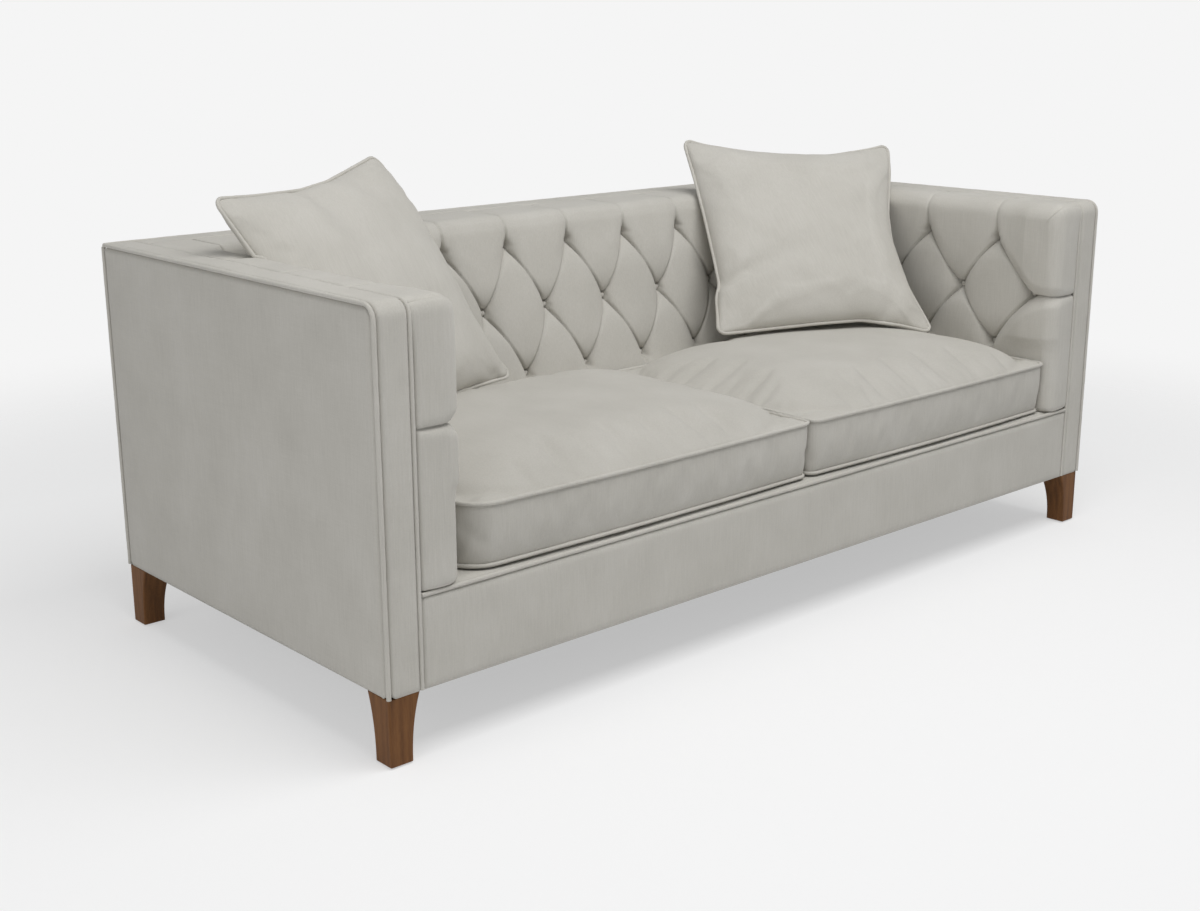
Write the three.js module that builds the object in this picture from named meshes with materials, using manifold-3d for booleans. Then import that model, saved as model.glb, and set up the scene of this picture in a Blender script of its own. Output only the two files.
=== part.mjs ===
// Square-arm sofa with deep-buttoned arms and back, two box seat cushions and two scatter cushions.
// Millimetres. +X is to the right seen from the front, -Y is the front, +Z is up.
// The origin is on the floor, under the middle of the sofa.
import * as THREE from "three";
import { mergeVertices } from "three/addons/utils/BufferGeometryUtils.js";
import Module from "manifold-3d";

const wasm = await Module();
wasm.setup();

// Overall sizes
const sofaWidth = 2100;
const sofaDepth = 960;
const shellHeight = 806;
const legHeight = 128;
const deckHeight = 303;
const fit = 0.3; // clearance between two pieces that touch
const mergeGapShare = 0.001; // of the fit: points closer than this are one point

// Covers, seams and cloths
const coverThickness = 9.5;
const weltDiameter = 9;
const bandWidth = 69;
const bandCornerRadius = 28;
const dustClothThickness = 1.5;
const backingThickness = 1.6;
const deckThickness = 14;

// Timber frame
const railThickness = 28;
const postDepth = 70;
const topRailThickness = 32;
const springRailDepth = 40;
const springRailHeight = 90;
const stretcherWidth = 28;
const uprightThickness = 27;
const uprightDepth = 50;
const tenonLength = 20;
const stubTenonLength = 12;
const tenonThickness = 16;
const tenonShoulder = 22;
const cornerBlockHeight = 60;
const cornerBlockReach = 62;

// Zigzag springs
const springCount = 8;
const springWire = 4;
const springHalfWidth = 25;
const springPitch = 60;
const springBendShare = 0.3;

// Legs
const legTopWidth = 66;
const legFootWidth = 47;
const legInset = 4;
const legChamfer = 3;
const legCurveShare = 2.3;
const legRings = 8;
const glideDiameter = 26;
const glideThickness = 3;
const boltDiameter = 10;
const boltLength = 44;

// Deep-buttoned pads
const armPadThickness = 95;
const padEdgeRadius = 42;
const padFrontRadius = 30;
const backTopDepth = 205;
const backLeanDepth = 136;
const tuftDepth = 45;
const pinchSpread = 27;
const pleatSpread = 20;
const pleatLiftShare = 0.5;
const pleatTopShare = 0.09;
const plainHemShare = 2.2; // mesh steps above a pad's floor that have no row of their own
const padLip = 1; // how far a pad's top stays below the band beside it
const armTuftPitch = 207;
const armTuftRise = 130;
const armTuftDrop = 90; // top row of buttons below the top of the arm
const armTuftStart = 180; // first button of that row behind the front of the arm
const backTuftPitch = 180;
const backTuftRise = 144;
const backTuftDrop = 65;
const tuftSteps = 3; // mesh steps from one button to the next row, along and up
const cornerFade = 30; // the arm's tufts run out this far in front of the back pad
const twineHalfWidth = 1.3;
const twineHoleClearance = 0.5;
const buttonRadius = 9;
const buttonCrown = 4;
const funnelSlopeShare = 1.5;

// Box seat cushions
const seatBoxing = 105;
const seatUnderside = 18; // from the deck up to the lower welt
const seatCrown = 64;
const seatCrownShare = 5;
const seatCrownShares = [0.96, 0.88, 0.76, 0.58, 0.3]; // rings of the crown, of the cushion's outline
const seatUndersideShares = [0.55, 0.88, 0.96]; // rings under the lower welt
const seatCornerRadius = 62; // the left cushion's front corner beside its arm
const seatTightCornerRadius = 20; // the other front corners, which meet or press on something
const seatRearRadius = 26;
const seatFrontSetback = 8;
const seatFrontBow = 8;
const seatSideDraw = 5;
const seatSplit = 28; // the pair sits a little to the right, as in the photograph
const seatGap = 3;
const seatGapLeft = 24;
const seatGapRight = 0.7;
const seatWelt = 9;

// Scatter cushions
const scatterSize = 568;
const scatterThickness = 150;
const scatterWelt = 8;
const scatterCornerRadius = 24;
const scatterSideDraw = 28;
const scatterFaceShares = [0.22, 0.44, 0.64, 0.8, 0.92]; // rings of a face, of the outline
const scatterFlatShare = 2.1;
const scatterFullShare = 0.7;
const scatterShoulderShare = 0.8;

// Where each scatter cushion's middle is: in from the arm, in front of the back and above the seat's crown
const rightScatterIn = 257;
const rightScatterForward = 60;
const rightScatterAbove = 214;
const leftScatterIn = 245;
const leftScatterForward = 14;
const leftScatterAbove = 208;

// Places worked out from the sizes above
const halfWidth = sofaWidth / 2;
const frontFace = -sofaDepth / 2;
const backFace = sofaDepth / 2;
const weltRadius = weltDiameter / 2;
const weltNotch = weltDiameter + fit;
const frameOuter = halfWidth - coverThickness - fit;
const frameFront = frontFace + coverThickness + fit;
const frameBack = backFace - coverThickness - fit;
const frameFloor = legHeight + dustClothThickness + fit;
const frameTop = shellHeight - coverThickness - fit;
const bandInner = halfWidth - bandWidth;
const frameInner = bandInner + backingThickness + fit;
const padOuter = bandInner - fit;
const padFloor = deckHeight + fit;
const padTop = shellHeight - padLip;
const backSeam = backFace - bandWidth;
const deckFloor = deckHeight - deckThickness;
const springTop = deckFloor - fit;
const springFloor = springTop - springWire;
const railTop = springFloor - fit;
const topRailFloor = frameTop - topRailThickness;
const armFace = bandInner - armPadThickness;
const buttonReach = buttonRadius * funnelSlopeShare;
const springSpacing = (2 * bandInner) / springCount;

// The back pad leans: its crests, its buttons and its backing are parallel planes.
const leanSlopeShare = backLeanDepth / (shellHeight - deckHeight);
const crestY = (z) => backFace - backTopDepth - (shellHeight - z) * leanSlopeShare;
const padBackY = (z) => crestY(z) + 2 * tuftDepth;
const uprightY = (z) => padBackY(z) + backingThickness + 2 * fit;

const seatLowerWelt = deckHeight + fit + seatUnderside;
const seatUpperWelt = seatLowerWelt + seatBoxing;
const seatTop = seatUpperWelt + seatCrown;

const linen = new THREE.MeshStandardMaterial({ color: "#bdbab0", roughness: 0.95, metalness: 0 });
const seatLinen = new THREE.MeshStandardMaterial({ color: "#b5b2a9", roughness: 0.95, metalness: 0 });
const hessian = new THREE.MeshStandardMaterial({ color: "#b09a74", roughness: 1, metalness: 0 });
const dustBlack = new THREE.MeshStandardMaterial({ color: "#1f1f20", roughness: 1, metalness: 0 });
const beech = new THREE.MeshStandardMaterial({ color: "#c9a878", roughness: 0.8, metalness: 0 });
const walnut = new THREE.MeshStandardMaterial({ color: "#6a472d", roughness: 0.5, metalness: 0 });
const springSteel = new THREE.MeshStandardMaterial({ color: "#8d8f92", roughness: 0.4, metalness: 1 });

const sofa = new THREE.Group();

function add(name, geometry, material) {
  const mesh = new THREE.Mesh(geometry, material);
  mesh.name = name;
  sofa.add(mesh);
}

// Adds a piece on the right and its mirror image on the left.
function addPair(name, geometry, material) {
  add(name + "_right", geometry, material);
  add(name + "_left", mirrored(geometry, "x"), material);
}

// Shape helpers

function box(x0, x1, y0, y1, z0, z1) {
  const shape = new THREE.BoxGeometry(x1 - x0, y1 - y0, z1 - z0);
  return shape.translate((x0 + x1) / 2, (y0 + y1) / 2, (z0 + z1) / 2);
}

// Extrudes an outline drawn in Y and Z along X.
function alongX(shape, x0, x1) {
  const flat = new THREE.ExtrudeGeometry(shape, { depth: x1 - x0, bevelEnabled: false });
  const turn = new THREE.Matrix4().set(0, 0, 1, x0, 1, 0, 0, 0, 0, 1, 0, 0, 0, 0, 0, 1);
  return flat.applyMatrix4(turn);
}

// Extrudes an outline drawn in X and Y up Z.
function alongZ(shape, z0, z1) {
  const flat = new THREE.ExtrudeGeometry(shape, { depth: z1 - z0, bevelEnabled: false });
  return flat.translate(0, 0, z0);
}

function outline(points) {
  return new THREE.Shape(points.map(([a, b]) => new THREE.Vector2(a, b)));
}

function fromTriangles(points, triangles) {
  const geometry = new THREE.BufferGeometry();
  geometry.setAttribute("position", new THREE.Float32BufferAttribute(points.flat(), 3));
  geometry.setIndex(triangles.flat());
  return geometry;
}

// Mirrors a closed mesh across the plane where the named axis is zero.
function mirrored(geometry, axis) {
  const copy = plain(geometry);
  const flip = { x: [-1, 1, 1], y: [1, -1, 1] }[axis];
  copy.scale(...flip);
  const index = copy.index.array;
  for (let i = 0; i < index.length; i += 3) {
    [index[i + 1], index[i + 2]] = [index[i + 2], index[i + 1]];
  }
  return copy;
}

// A mesh with shared vertices and nothing but positions.
function plain(geometry) {
  const copy = geometry.clone();
  for (const name of Object.keys(copy.attributes)) {
    if (name !== "position") {
      copy.deleteAttribute(name);
    }
  }
  return mergeVertices(copy, fit * mergeGapShare);
}

function toSolid(geometry) {
  const merged = plain(geometry);
  const mesh = new wasm.Mesh({
    numProp: 3,
    vertProperties: new Float32Array(merged.attributes.position.array),
    triVerts: new Uint32Array(merged.index.array),
  });
  return new wasm.Manifold(mesh);
}

function toGeometry(solid) {
  const mesh = solid.getMesh();
  const geometry = new THREE.BufferGeometry();
  geometry.setAttribute("position", new THREE.Float32BufferAttribute(mesh.vertProperties, 3));
  geometry.setIndex(Array.from(mesh.triVerts));
  return geometry;
}

function join(...geometries) {
  const [first, ...rest] = geometries.map(toSolid);
  return toGeometry(rest.reduce((sum, next) => sum.add(next), first));
}

function cut(geometry, ...cutters) {
  return toGeometry(cutters.map(toSolid).reduce((left, next) => left.subtract(next), toSolid(geometry)));
}

// Joins rings of points into one closed body. Each ring goes round the same way,
// and the first and last are closed by flat caps. Rings turn left seen from the last one.
function loft(rings) {
  const size = rings[0].length;
  const points = rings.flat();
  const triangles = [];
  for (let r = 0; r + 1 < rings.length; r++) {
    for (let i = 0; i < size; i++) {
      const a = r * size + i;
      const b = r * size + ((i + 1) % size);
      triangles.push([a, b, b + size], [a, b + size, a + size]);
    }
  }
  triangles.push(...capOf(rings[0]).map(([a, b, c]) => [a, c, b]));
  const last = (rings.length - 1) * size;
  triangles.push(...capOf(rings[rings.length - 1]).map((t) => t.map((i) => i + last)));
  return fromTriangles(points, triangles);
}

// Triangles that fill a flat ring, in the ring's own turning sense.
function capOf(ring) {
  const normal = ringNormal(ring);
  const away = Math.abs(normal.z) > Math.SQRT1_2 ? new THREE.Vector3(1, 0, 0) : new THREE.Vector3(0, 0, 1);
  const across = new THREE.Vector3().crossVectors(away, normal).normalize();
  const up = new THREE.Vector3().crossVectors(normal, across);
  const flat = ring.map((p) => {
    const v = new THREE.Vector3(...p);
    return new THREE.Vector2(v.dot(across), v.dot(up));
  });
  return THREE.ShapeUtils.triangulateShape(flat, []);
}

function ringNormal(ring) {
  const normal = new THREE.Vector3();
  for (let i = 0; i < ring.length; i++) {
    const a = new THREE.Vector3(...ring[i]);
    const b = new THREE.Vector3(...ring[(i + 1) % ring.length]);
    normal.add(a.cross(b));
  }
  return normal.normalize();
}

// A round cord along a path of points, closed at both ends.
function cordAlong(path, radius, sides = 8) {
  const points = path.map((p) => new THREE.Vector3(...p));
  const normal = ringNormal(path);
  const rings = points.map((p, i) => {
    const before = points[Math.max(i - 1, 0)];
    const after = points[Math.min(i + 1, points.length - 1)];
    const way = new THREE.Vector3().subVectors(after, before).normalize();
    const aside = new THREE.Vector3().crossVectors(way, normal).normalize();
    const mitre = mitreStretch(before, p, after);
    return Array.from({ length: sides }, (_, k) => {
      const turn = ((k + 1 / 2) / sides) * 2 * Math.PI;
      return [
        p.x + radius * (mitre * Math.cos(turn) * aside.x - Math.sin(turn) * normal.x),
        p.y + radius * (mitre * Math.cos(turn) * aside.y - Math.sin(turn) * normal.y),
        p.z + radius * (mitre * Math.cos(turn) * aside.z - Math.sin(turn) * normal.z),
      ];
    });
  });
  return loft(rings);
}

// A section at a bend is wider, so that the cord keeps its thickness on both sides of it.
function mitreStretch(before, here, after) {
  const into = new THREE.Vector3().subVectors(here, before);
  const out = new THREE.Vector3().subVectors(after, here);
  if (into.length() === 0 || out.length() === 0) {
    return 1;
  }
  return 1 / Math.cos(into.angleTo(out) / 2);
}

// Points of a quarter circle about a centre, from one angle to another.
function arcPoints(centreA, centreB, radius, from, to, steps) {
  return Array.from({ length: steps + 1 }, (_, i) => {
    const turn = from + ((to - from) * i) / steps;
    return [centreA + radius * Math.cos(turn), centreB + radius * Math.sin(turn)];
  });
}

// Timber frame

// A rail's or a post's tenon is joined to its body. This one is a little inside its mortise.
const frontTenon = {
  y0: frameFront + (railThickness - tenonThickness) / 2,
  y1: frameFront + (railThickness + tenonThickness) / 2,
  z0: frameFloor + 2 * tenonShoulder,
  z1: railTop - tenonShoulder,
};

function seatCrossRail(sign) {
  const end = frameInner - fit;
  const tip = end + tenonLength;
  const { y0, y1, z0, z1 } = frontTenon;
  const body = box(-end, end, frameFront, frameFront + railThickness, frameFloor, railTop);
  const rail = join(body, box(-tip, tip, y0, y1, z0, z1));
  return sign < 0 ? rail : mirrored(rail, "y");
}

function sideTenonX() {
  const middle = frameOuter - railThickness / 2;
  return [middle - tenonThickness / 2, middle + tenonThickness / 2];
}

function sideSeatRail() {
  const end = -frameFront - postDepth - fit;
  const tip = end + tenonLength;
  const [x0, x1] = sideTenonX();
  const body = box(frameOuter - railThickness, frameOuter, -end, end, frameFloor, railTop);
  const rail = join(body, box(x0, x1, -tip, tip, frontTenon.z0, frontTenon.z1));
  return cut(rail, springRailTenon(fit));
}

function springRailTenon(clearance) {
  const tip = frameOuter - railThickness + stubTenonLength + clearance;
  const y0 = uprightY(railTop) + tenonShoulder / 2 - clearance;
  const y1 = uprightY(railTop) + springRailDepth - tenonShoulder / 2 + clearance;
  return box(-tip, tip, y0, y1, railTop - springRailHeight / 2 - clearance, railTop - tenonShoulder + clearance);
}

function rearSpringRail() {
  const end = frameOuter - railThickness - fit;
  const y0 = uprightY(railTop);
  const body = box(-end, end, y0, y0 + springRailDepth, railTop - springRailHeight, railTop);
  return join(body, springRailTenon(0));
}

function centreStretcher() {
  const end = -frameFront - railThickness - fit;
  const top = railTop - springRailHeight - fit;
  return box(-stretcherWidth / 2, stretcherWidth / 2, -end, end, frameFloor, top);
}

// A brace notched round the post, glued into the corner between two rails.
function cornerBlock() {
  const railFace = -frameFront - railThickness - fit;
  const postFace = frameInner - fit;
  const postEnd = -frameFront - postDepth - fit;
  const sideFace = frameOuter - railThickness - fit;
  const brace = outline([
    [postFace, railFace],
    [postFace - cornerBlockReach, railFace],
    [sideFace, postEnd - cornerBlockReach],
    [sideFace, postEnd],
    [postFace, postEnd],
  ]);
  return alongZ(brace, frameFloor, frameFloor + cornerBlockHeight);
}

function postTenon(clearance) {
  const xMiddle = (frameInner + frameOuter) / 2;
  const yMiddle = frameBack - postDepth / 2;
  const halfX = tenonThickness / 2 + clearance;
  const halfY = tenonShoulder / 2 + clearance;
  const tip = topRailFloor + stubTenonLength + clearance;
  return box(xMiddle - halfX, xMiddle + halfX, yMiddle - halfY, yMiddle + halfY, topRailFloor - tenonShoulder, tip);
}

function boltHole() {
  const radius = boltDiameter / 2 + fit;
  const hole = new THREE.CylinderGeometry(radius, radius, 2 * (boltLength + fit), 12).rotateX(Math.PI / 2);
  const centre = legCentre();
  return hole.translate(centre, centre - halfWidth + backFace, legHeight);
}

function legCentre() {
  return halfWidth - legInset - legTopWidth / 2;
}

// A back corner post. The front one is its mirror image.
function cornerPost() {
  const body = box(frameInner, frameOuter, frameBack - postDepth, frameBack, frameFloor, topRailFloor - fit);
  const post = join(body, postTenon(0));
  const { y0, y1, z0, z1 } = frontTenon;
  const crossMortise = box(0, frameInner + tenonLength, -y1 - fit, -y0 + fit, z0 - fit, z1 + fit);
  const [x0, x1] = sideTenonX();
  const sideTip = frameBack - postDepth + tenonLength;
  const sideMortise = box(x0 - fit, x1 + fit, 0, sideTip, z0 - fit, z1 + fit);
  return cut(post, crossMortise, sideMortise, boltHole());
}

function backRailTenon(clearance) {
  const tip = frameInner + stubTenonLength + clearance;
  const y1 = frameBack - postDepth - fit;
  const y0 = y1 - tenonShoulder;
  const z0 = topRailFloor + (topRailThickness - tenonThickness) / 2;
  const z1 = z0 + tenonThickness;
  return box(-tip, tip, y0 - clearance, y1 + clearance, z0 - clearance, z1 + clearance);
}

// The rail under the arm's top band, rounded at its front like the band over it.
function armTopRail() {
  const radius = bandCornerRadius - coverThickness - fit;
  const nose = arcPoints(frameFront + radius, frameTop - radius, radius, Math.PI, Math.PI / 2, 5);
  const profile = outline([[frameFront, topRailFloor], ...nose, [frameBack, frameTop], [frameBack, topRailFloor]]);
  const rail = alongX(profile, frameInner, frameOuter);
  return cut(rail, postTenon(fit), mirrored(postTenon(fit), "y"), backRailTenon(fit));
}

function armStay() {
  const half = railThickness / 2;
  return box(frameInner, frameOuter, -half, half, railTop + fit, topRailFloor - fit);
}

function backTopRail() {
  const profile = outline([
    [uprightY(topRailFloor), topRailFloor],
    [frameBack, topRailFloor],
    [frameBack, frameTop],
    [uprightY(frameTop), frameTop],
  ]);
  const end = frameInner - fit;
  return join(alongX(profile, -end, end), backRailTenon(0));
}

function backUpright() {
  const floor = railTop + fit;
  const top = topRailFloor - fit;
  const profile = outline([
    [uprightY(floor), floor],
    [uprightY(floor) + uprightDepth, floor],
    [uprightY(top) + uprightDepth, top],
    [uprightY(top), top],
  ]);
  return alongX(profile, springSpacing - uprightThickness / 2, springSpacing + uprightThickness / 2);
}

// Zigzag springs

// Flat wire of one width along a line of points, as an outline.
function ribbon(points, width) {
  const left = [];
  const right = [];
  points.forEach((p, i) => {
    const before = points[Math.max(i - 1, 0)];
    const after = points[Math.min(i + 1, points.length - 1)];
    const into = new THREE.Vector2(p[0] - before[0], p[1] - before[1]).normalize();
    const out = new THREE.Vector2(after[0] - p[0], after[1] - p[1]).normalize();
    const way = new THREE.Vector2().addVectors(into, out).normalize();
    const bend = into.length() && out.length() ? Math.sqrt((1 + into.dot(out)) / 2) : 1;
    const reach = width / 2 / bend;
    left.push([p[0] - way.y * reach, p[1] + way.x * reach]);
    right.push([p[0] + way.y * reach, p[1] - way.x * reach]);
  });
  return outline([...left, ...right.reverse()]);
}

function zigzagSpring(x) {
  const start = frameFront + railThickness / 2;
  const end = uprightY(railTop) + springRailDepth / 2;
  const runs = Math.round((end - start) / springPitch);
  const pitch = (end - start) / runs;
  const bend = pitch * springBendShare;
  const path = [];
  for (let i = 0; i <= runs; i++) {
    const side = i % 2 ? 1 : -1;
    const y = start + i * pitch;
    path.push([x - side * (springHalfWidth - bend), y], [x + side * (springHalfWidth - bend), y]);
    if (i < runs) {
      path.push([x + side * springHalfWidth, y + bend], [x + side * springHalfWidth, y + pitch - bend]);
    }
  }
  return alongZ(ribbon(path, springWire), springFloor, springTop);
}

// Deep-buttoned pads

// Lines of pleats between the buttons of a diamond pattern, and from the outer buttons to the edges.
// Places are (along, up) on the pad's face.
function pleatPattern({ rows, pitch, rise, low, high, near, far, steppedRow }) {
  const buttons = rows.flatMap((row) => row.places.map((along) => ({ along, up: row.up })));
  const pleats = [];
  for (const a of buttons) {
    for (const b of buttons) {
      const sideways = Math.abs(b.along - a.along);
      if (Math.abs(a.up - b.up - rise) < rise / 2 && sideways < (pitch * 3) / 4) {
        pleats.push({ from: a, to: b, open: false });
      }
    }
  }
  const upper = rows[0];
  const lower = rows[rows.length - 1];
  upper.places.forEach((along) => {
    pleats.push({ from: { along, up: upper.up }, to: { along, up: high }, open: true });
  });
  lower.places.forEach((along) => {
    pleats.push({ from: { along, up: lower.up }, to: { along, up: low }, open: true });
  });
  const ends = [near, far].filter((edge) => edge !== null);
  for (const edge of ends) {
    const nearest = steppedRow.places.reduce((a, b) => (Math.abs(a - edge) < Math.abs(b - edge) ? a : b));
    pleats.push({ from: { along: nearest, up: steppedRow.up }, to: { along: edge, up: steppedRow.up }, open: true });
  }
  return { buttons, pleats };
}

// How far the cover is drawn in at a place on the face: most at a button, less along a pleat.
function drawnIn(along, up, { buttons, pleats }) {
  let share = 0;
  for (const { from, to, open } of pleats) {
    const runAlong = to.along - from.along;
    const runUp = to.up - from.up;
    const length = Math.hypot(runAlong, runUp);
    const raw = ((along - from.along) * runAlong + (up - from.up) * runUp) / (length * length);
    const t = Math.min(Math.max(raw, 0), 1);
    const gap = Math.hypot(along - from.along - t * runAlong, up - from.up - t * runUp);
    const lift = open ? Math.sin((t * Math.PI) / 2) : Math.sin(t * Math.PI);
    share = Math.max(share, (1 - pleatLiftShare * lift) * Math.exp(-gap / pleatSpread));
  }
  for (const button of buttons) {
    const gap = Math.hypot(along - button.along, up - button.up);
    share = Math.max(share, Math.exp(-gap / pinchSpread));
  }
  return share * tuftDepth;
}

// Steps up a pad's face: the floor, the rows of the pattern, and the start of the rounded top edge.
function faceSteps(floor, topRow, rise, edgeStart) {
  const step = rise / tuftSteps;
  const steps = [];
  for (let z = topRow; z > floor + step * plainHemShare; z -= step) {
    steps.unshift(z);
  }
  return [floor, ...steps, edgeStart];
}

// One section through a pad: out is the distance that its crest stands out from its backing.
// It runs up the tufted face, round the top edge and back over the top to the seam.
function padSection({ steps, outAt, depthAt, top, seam, radius }) {
  const section = steps.map((z) => ({ out: outAt(z) - depthAt(z), up: z }));
  const edgeStart = steps[steps.length - 1];
  const crest = outAt(edgeStart);
  const turns = [1 / 3, 2 / 3, 1];
  for (const turn of turns) {
    const angle = (turn * Math.PI) / 2;
    const depth = depthAt(edgeStart + radius * angle) * (1 - (1 - pleatTopShare) * turn);
    section.push({
      out: crest - radius * (1 - Math.cos(angle)) - depth * Math.cos(angle),
      up: top - radius * (1 - Math.sin(angle)) - depth * Math.sin(angle),
    });
  }
  section.push({ out: seam, up: top - depthAt(edgeStart + radius * 2) * pleatTopShare });
  return section;
}

const armTopRow = shellHeight - armTuftDrop;
const armFirst = frontFace + armTuftStart;
const armRows = [
  { up: armTopRow, places: [0, 1, 2].map((i) => armFirst + i * armTuftPitch) },
  { up: armTopRow - armTuftRise, places: [-1 / 2, 1 / 2, 3 / 2].map((i) => armFirst + i * armTuftPitch) },
  { up: armTopRow - 2 * armTuftRise, places: [0, 1, 2].map((i) => armFirst + i * armTuftPitch) },
];
const armPattern = pleatPattern({
  rows: armRows,
  pitch: armTuftPitch,
  rise: armTuftRise,
  low: deckHeight,
  high: shellHeight + padEdgeRadius,
  near: frontFace,
  far: null,
  steppedRow: armRows[1],
});

const backTopRow = shellHeight - backTuftDrop;
const outerButtons = Math.floor(armFace / backTuftPitch);
const wholePlaces = Array.from({ length: 2 * outerButtons + 1 }, (_, i) => (i - outerButtons) * backTuftPitch);
const halfPlaces = Array.from({ length: 2 * outerButtons + 2 }, (_, i) => (i - outerButtons - 1 / 2) * backTuftPitch)
  .filter((along) => Math.abs(along) < armFace - buttonRadius);
const backRows = [
  { up: backTopRow, places: wholePlaces },
  { up: backTopRow - backTuftRise, places: halfPlaces },
  { up: backTopRow - 2 * backTuftRise, places: wholePlaces },
];
const backPattern = pleatPattern({
  rows: backRows,
  pitch: backTuftPitch,
  rise: backTuftRise,
  low: deckHeight,
  high: shellHeight + padEdgeRadius,
  near: -armFace,
  far: armFace,
  steppedRow: backRows[1],
});

// How round the front end of an arm pad is: its crest is lower towards the facing.
function armCrest(y) {
  const into = Math.min(y - frontFace, padFrontRadius);
  const drop = padFrontRadius - Math.sqrt(padFrontRadius ** 2 - (padFrontRadius - into) ** 2);
  return armPadThickness - drop;
}

// How far the top of an arm pad drops at its front, where it turns down with the band beside it.
function armTop(y) {
  const into = Math.min(y - frontFace, bandCornerRadius);
  return padTop - bandCornerRadius + Math.sqrt(bandCornerRadius ** 2 - (bandCornerRadius - into) ** 2);
}

// The right arm's pad. Behind the back pad it is a plain filling, and over the back's top rail a thin lip.
function armPadBlank() {
  const step = armTuftPitch / 2 / tuftSteps;
  const first = armRows[1].places[0];
  const lipStart = uprightY(topRailFloor) - backingThickness;
  const start = frontFace + fit;
  const pastWelt = frontFace + weltNotch;
  const places = [start, pastWelt - fit, pastWelt, frontFace + padFrontRadius / 2, frontFace + padFrontRadius];
  for (let y = first; y < lipStart - step / 2; y += step) {
    places.push(y);
  }
  places.push(lipStart - fit, lipStart, backSeam - fit);
  const rings = places.map((y) => {
    const lip = y >= lipStart;
    const top = armTop(y);
    const steps = faceSteps(padFloor, armTopRow, armTuftRise, top - padEdgeRadius);
    const root = y < pastWelt ? padOuter - weltNotch : padOuter;
    const fade = (z) => Math.min(Math.max((crestY(Math.min(z, shellHeight)) - y) / cornerFade, 0), 1);
    const section = padSection({
      steps,
      outAt: () => armCrest(y),
      depthAt: (z) => drawnIn(y, z, armPattern) * fade(z),
      top,
      seam: bandInner - root,
      radius: padEdgeRadius,
    });
    const floor = lip ? frameTop + fit : padFloor;
    const face = section.map(({ out, up }) => [bandInner - out, y, Math.max(up, floor)]);
    return lip ? lipRing(face, floor, root, y) : [...face, [root, y, floor]];
  });
  return loft(rings);
}

// Over the rail the section is flat: its face steps lie along the lip's underside.
function lipRing(face, floor, root, y) {
  const low = face.filter((p) => p[2] <= floor);
  const rest = face.slice(low.length);
  const edge = rest[0][0];
  const spread = low.map((_, i) => [root - ((root - edge) * (i + 1)) / (low.length + 1), y, floor]);
  return [...spread, ...rest, [root, y, floor]];
}

// The back pad, between the arm pads. Its lip lies over the back's top rail.
function backPadBlank() {
  const edgeStart = padTop - padEdgeRadius;
  const steps = faceSteps(padFloor, backTopRow, backTuftRise, edgeStart);
  const step = backTuftPitch / 2 / tuftSteps;
  const end = armFace - 2 * fit;
  const places = [-end];
  for (let k = -Math.floor((end - step / 3) / step); k <= Math.floor((end - step / 3) / step); k++) {
    places.push(k * step);
  }
  places.push(end);
  const seam = backSeam - fit;
  const rings = places.map((x) => {
    const section = padSection({
      steps,
      outAt: (z) => seam - crestY(z),
      depthAt: (z) => drawnIn(x, z, backPattern),
      top: padTop,
      seam: 0,
      radius: padEdgeRadius,
    });
    const face = section.map(({ out, up }) => [x, seam - out, up]);
    return [...face, [x, seam, padFloor]];
  });
  return loft(rings.map((ring) => ring.reverse()));
}

// The space behind the back pad, under its lip, where its backing and the frame stand.
function behindBackPad() {
  const lipFloor = frameTop + fit;
  const past = sofaDepth / 2;
  const space = outline([
    [padBackY(0), 0],
    [past, 0],
    [past, lipFloor],
    [padBackY(lipFloor), lipFloor],
  ]);
  return alongX(space, -armFace, armFace);
}

// Twine that ends inside a button and runs along +Y from it to the backing, a length behind the pinch.
function twine(length, halfWidth) {
  return box(-halfWidth, halfWidth, -buttonReach / 2, length, -halfWidth, halfWidth);
}

// A covered button with its shank: a cone that sits in the funnel of the pleats, under a low dome.
function button() {
  const profile = [
    [0, 0],
    [buttonRadius, buttonReach],
    [buttonRadius, buttonReach + buttonCrown / 2],
    [0, buttonReach + buttonCrown],
  ].map(([r, h]) => new THREE.Vector2(r, h));
  return new THREE.LatheGeometry(profile, 6);
}

// Where each tie of the back meets its button, and the length of twine behind it.
function backTies() {
  return backPattern.buttons.map(({ along, up }) => ({ x: along, y: crestY(up) + tuftDepth, z: up }));
}

function armTies() {
  return armPattern.buttons.map(({ along, up }) => ({ x: bandInner - armPadThickness + tuftDepth, y: along, z: up }));
}

function backTie({ x, y, z }, halfWidth) {
  const end = padBackY(z) + fit + backingThickness / 2;
  return twine(end - y, halfWidth).translate(x, y, z);
}

function armTie({ x, y, z }, halfWidth) {
  const end = bandInner + backingThickness / 2;
  return twine(end - x, halfWidth).rotateZ(-Math.PI / 2).translate(x, y, z);
}

function backPad() {
  const holes = backTies().map((tie) => backTie(tie, twineHalfWidth + twineHoleClearance));
  return cut(backPadBlank(), behindBackPad(), ...holes);
}

function armPad() {
  const holes = armTies().map((tie) => armTie(tie, twineHalfWidth + twineHoleClearance));
  return cut(armPadBlank(), ...holes);
}

// The hessian behind the back pad, with every tie and button that is sewn through to it.
function backButtonTies() {
  const front = (z) => padBackY(z) + fit;
  const rear = (z) => front(z) + backingThickness;
  const top = frameTop;
  const profile = outline([
    [front(padFloor), padFloor],
    [rear(padFloor), padFloor],
    [rear(top), top],
    [front(top), top],
  ]);
  const end = armFace - 2 * fit;
  const ties = backTies().flatMap((tie) => [
    backTie(tie, twineHalfWidth),
    button().rotateX(Math.PI).translate(tie.x, tie.y - fit, tie.z),
  ]);
  return join(alongX(profile, -end, end), ...ties);
}

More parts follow.
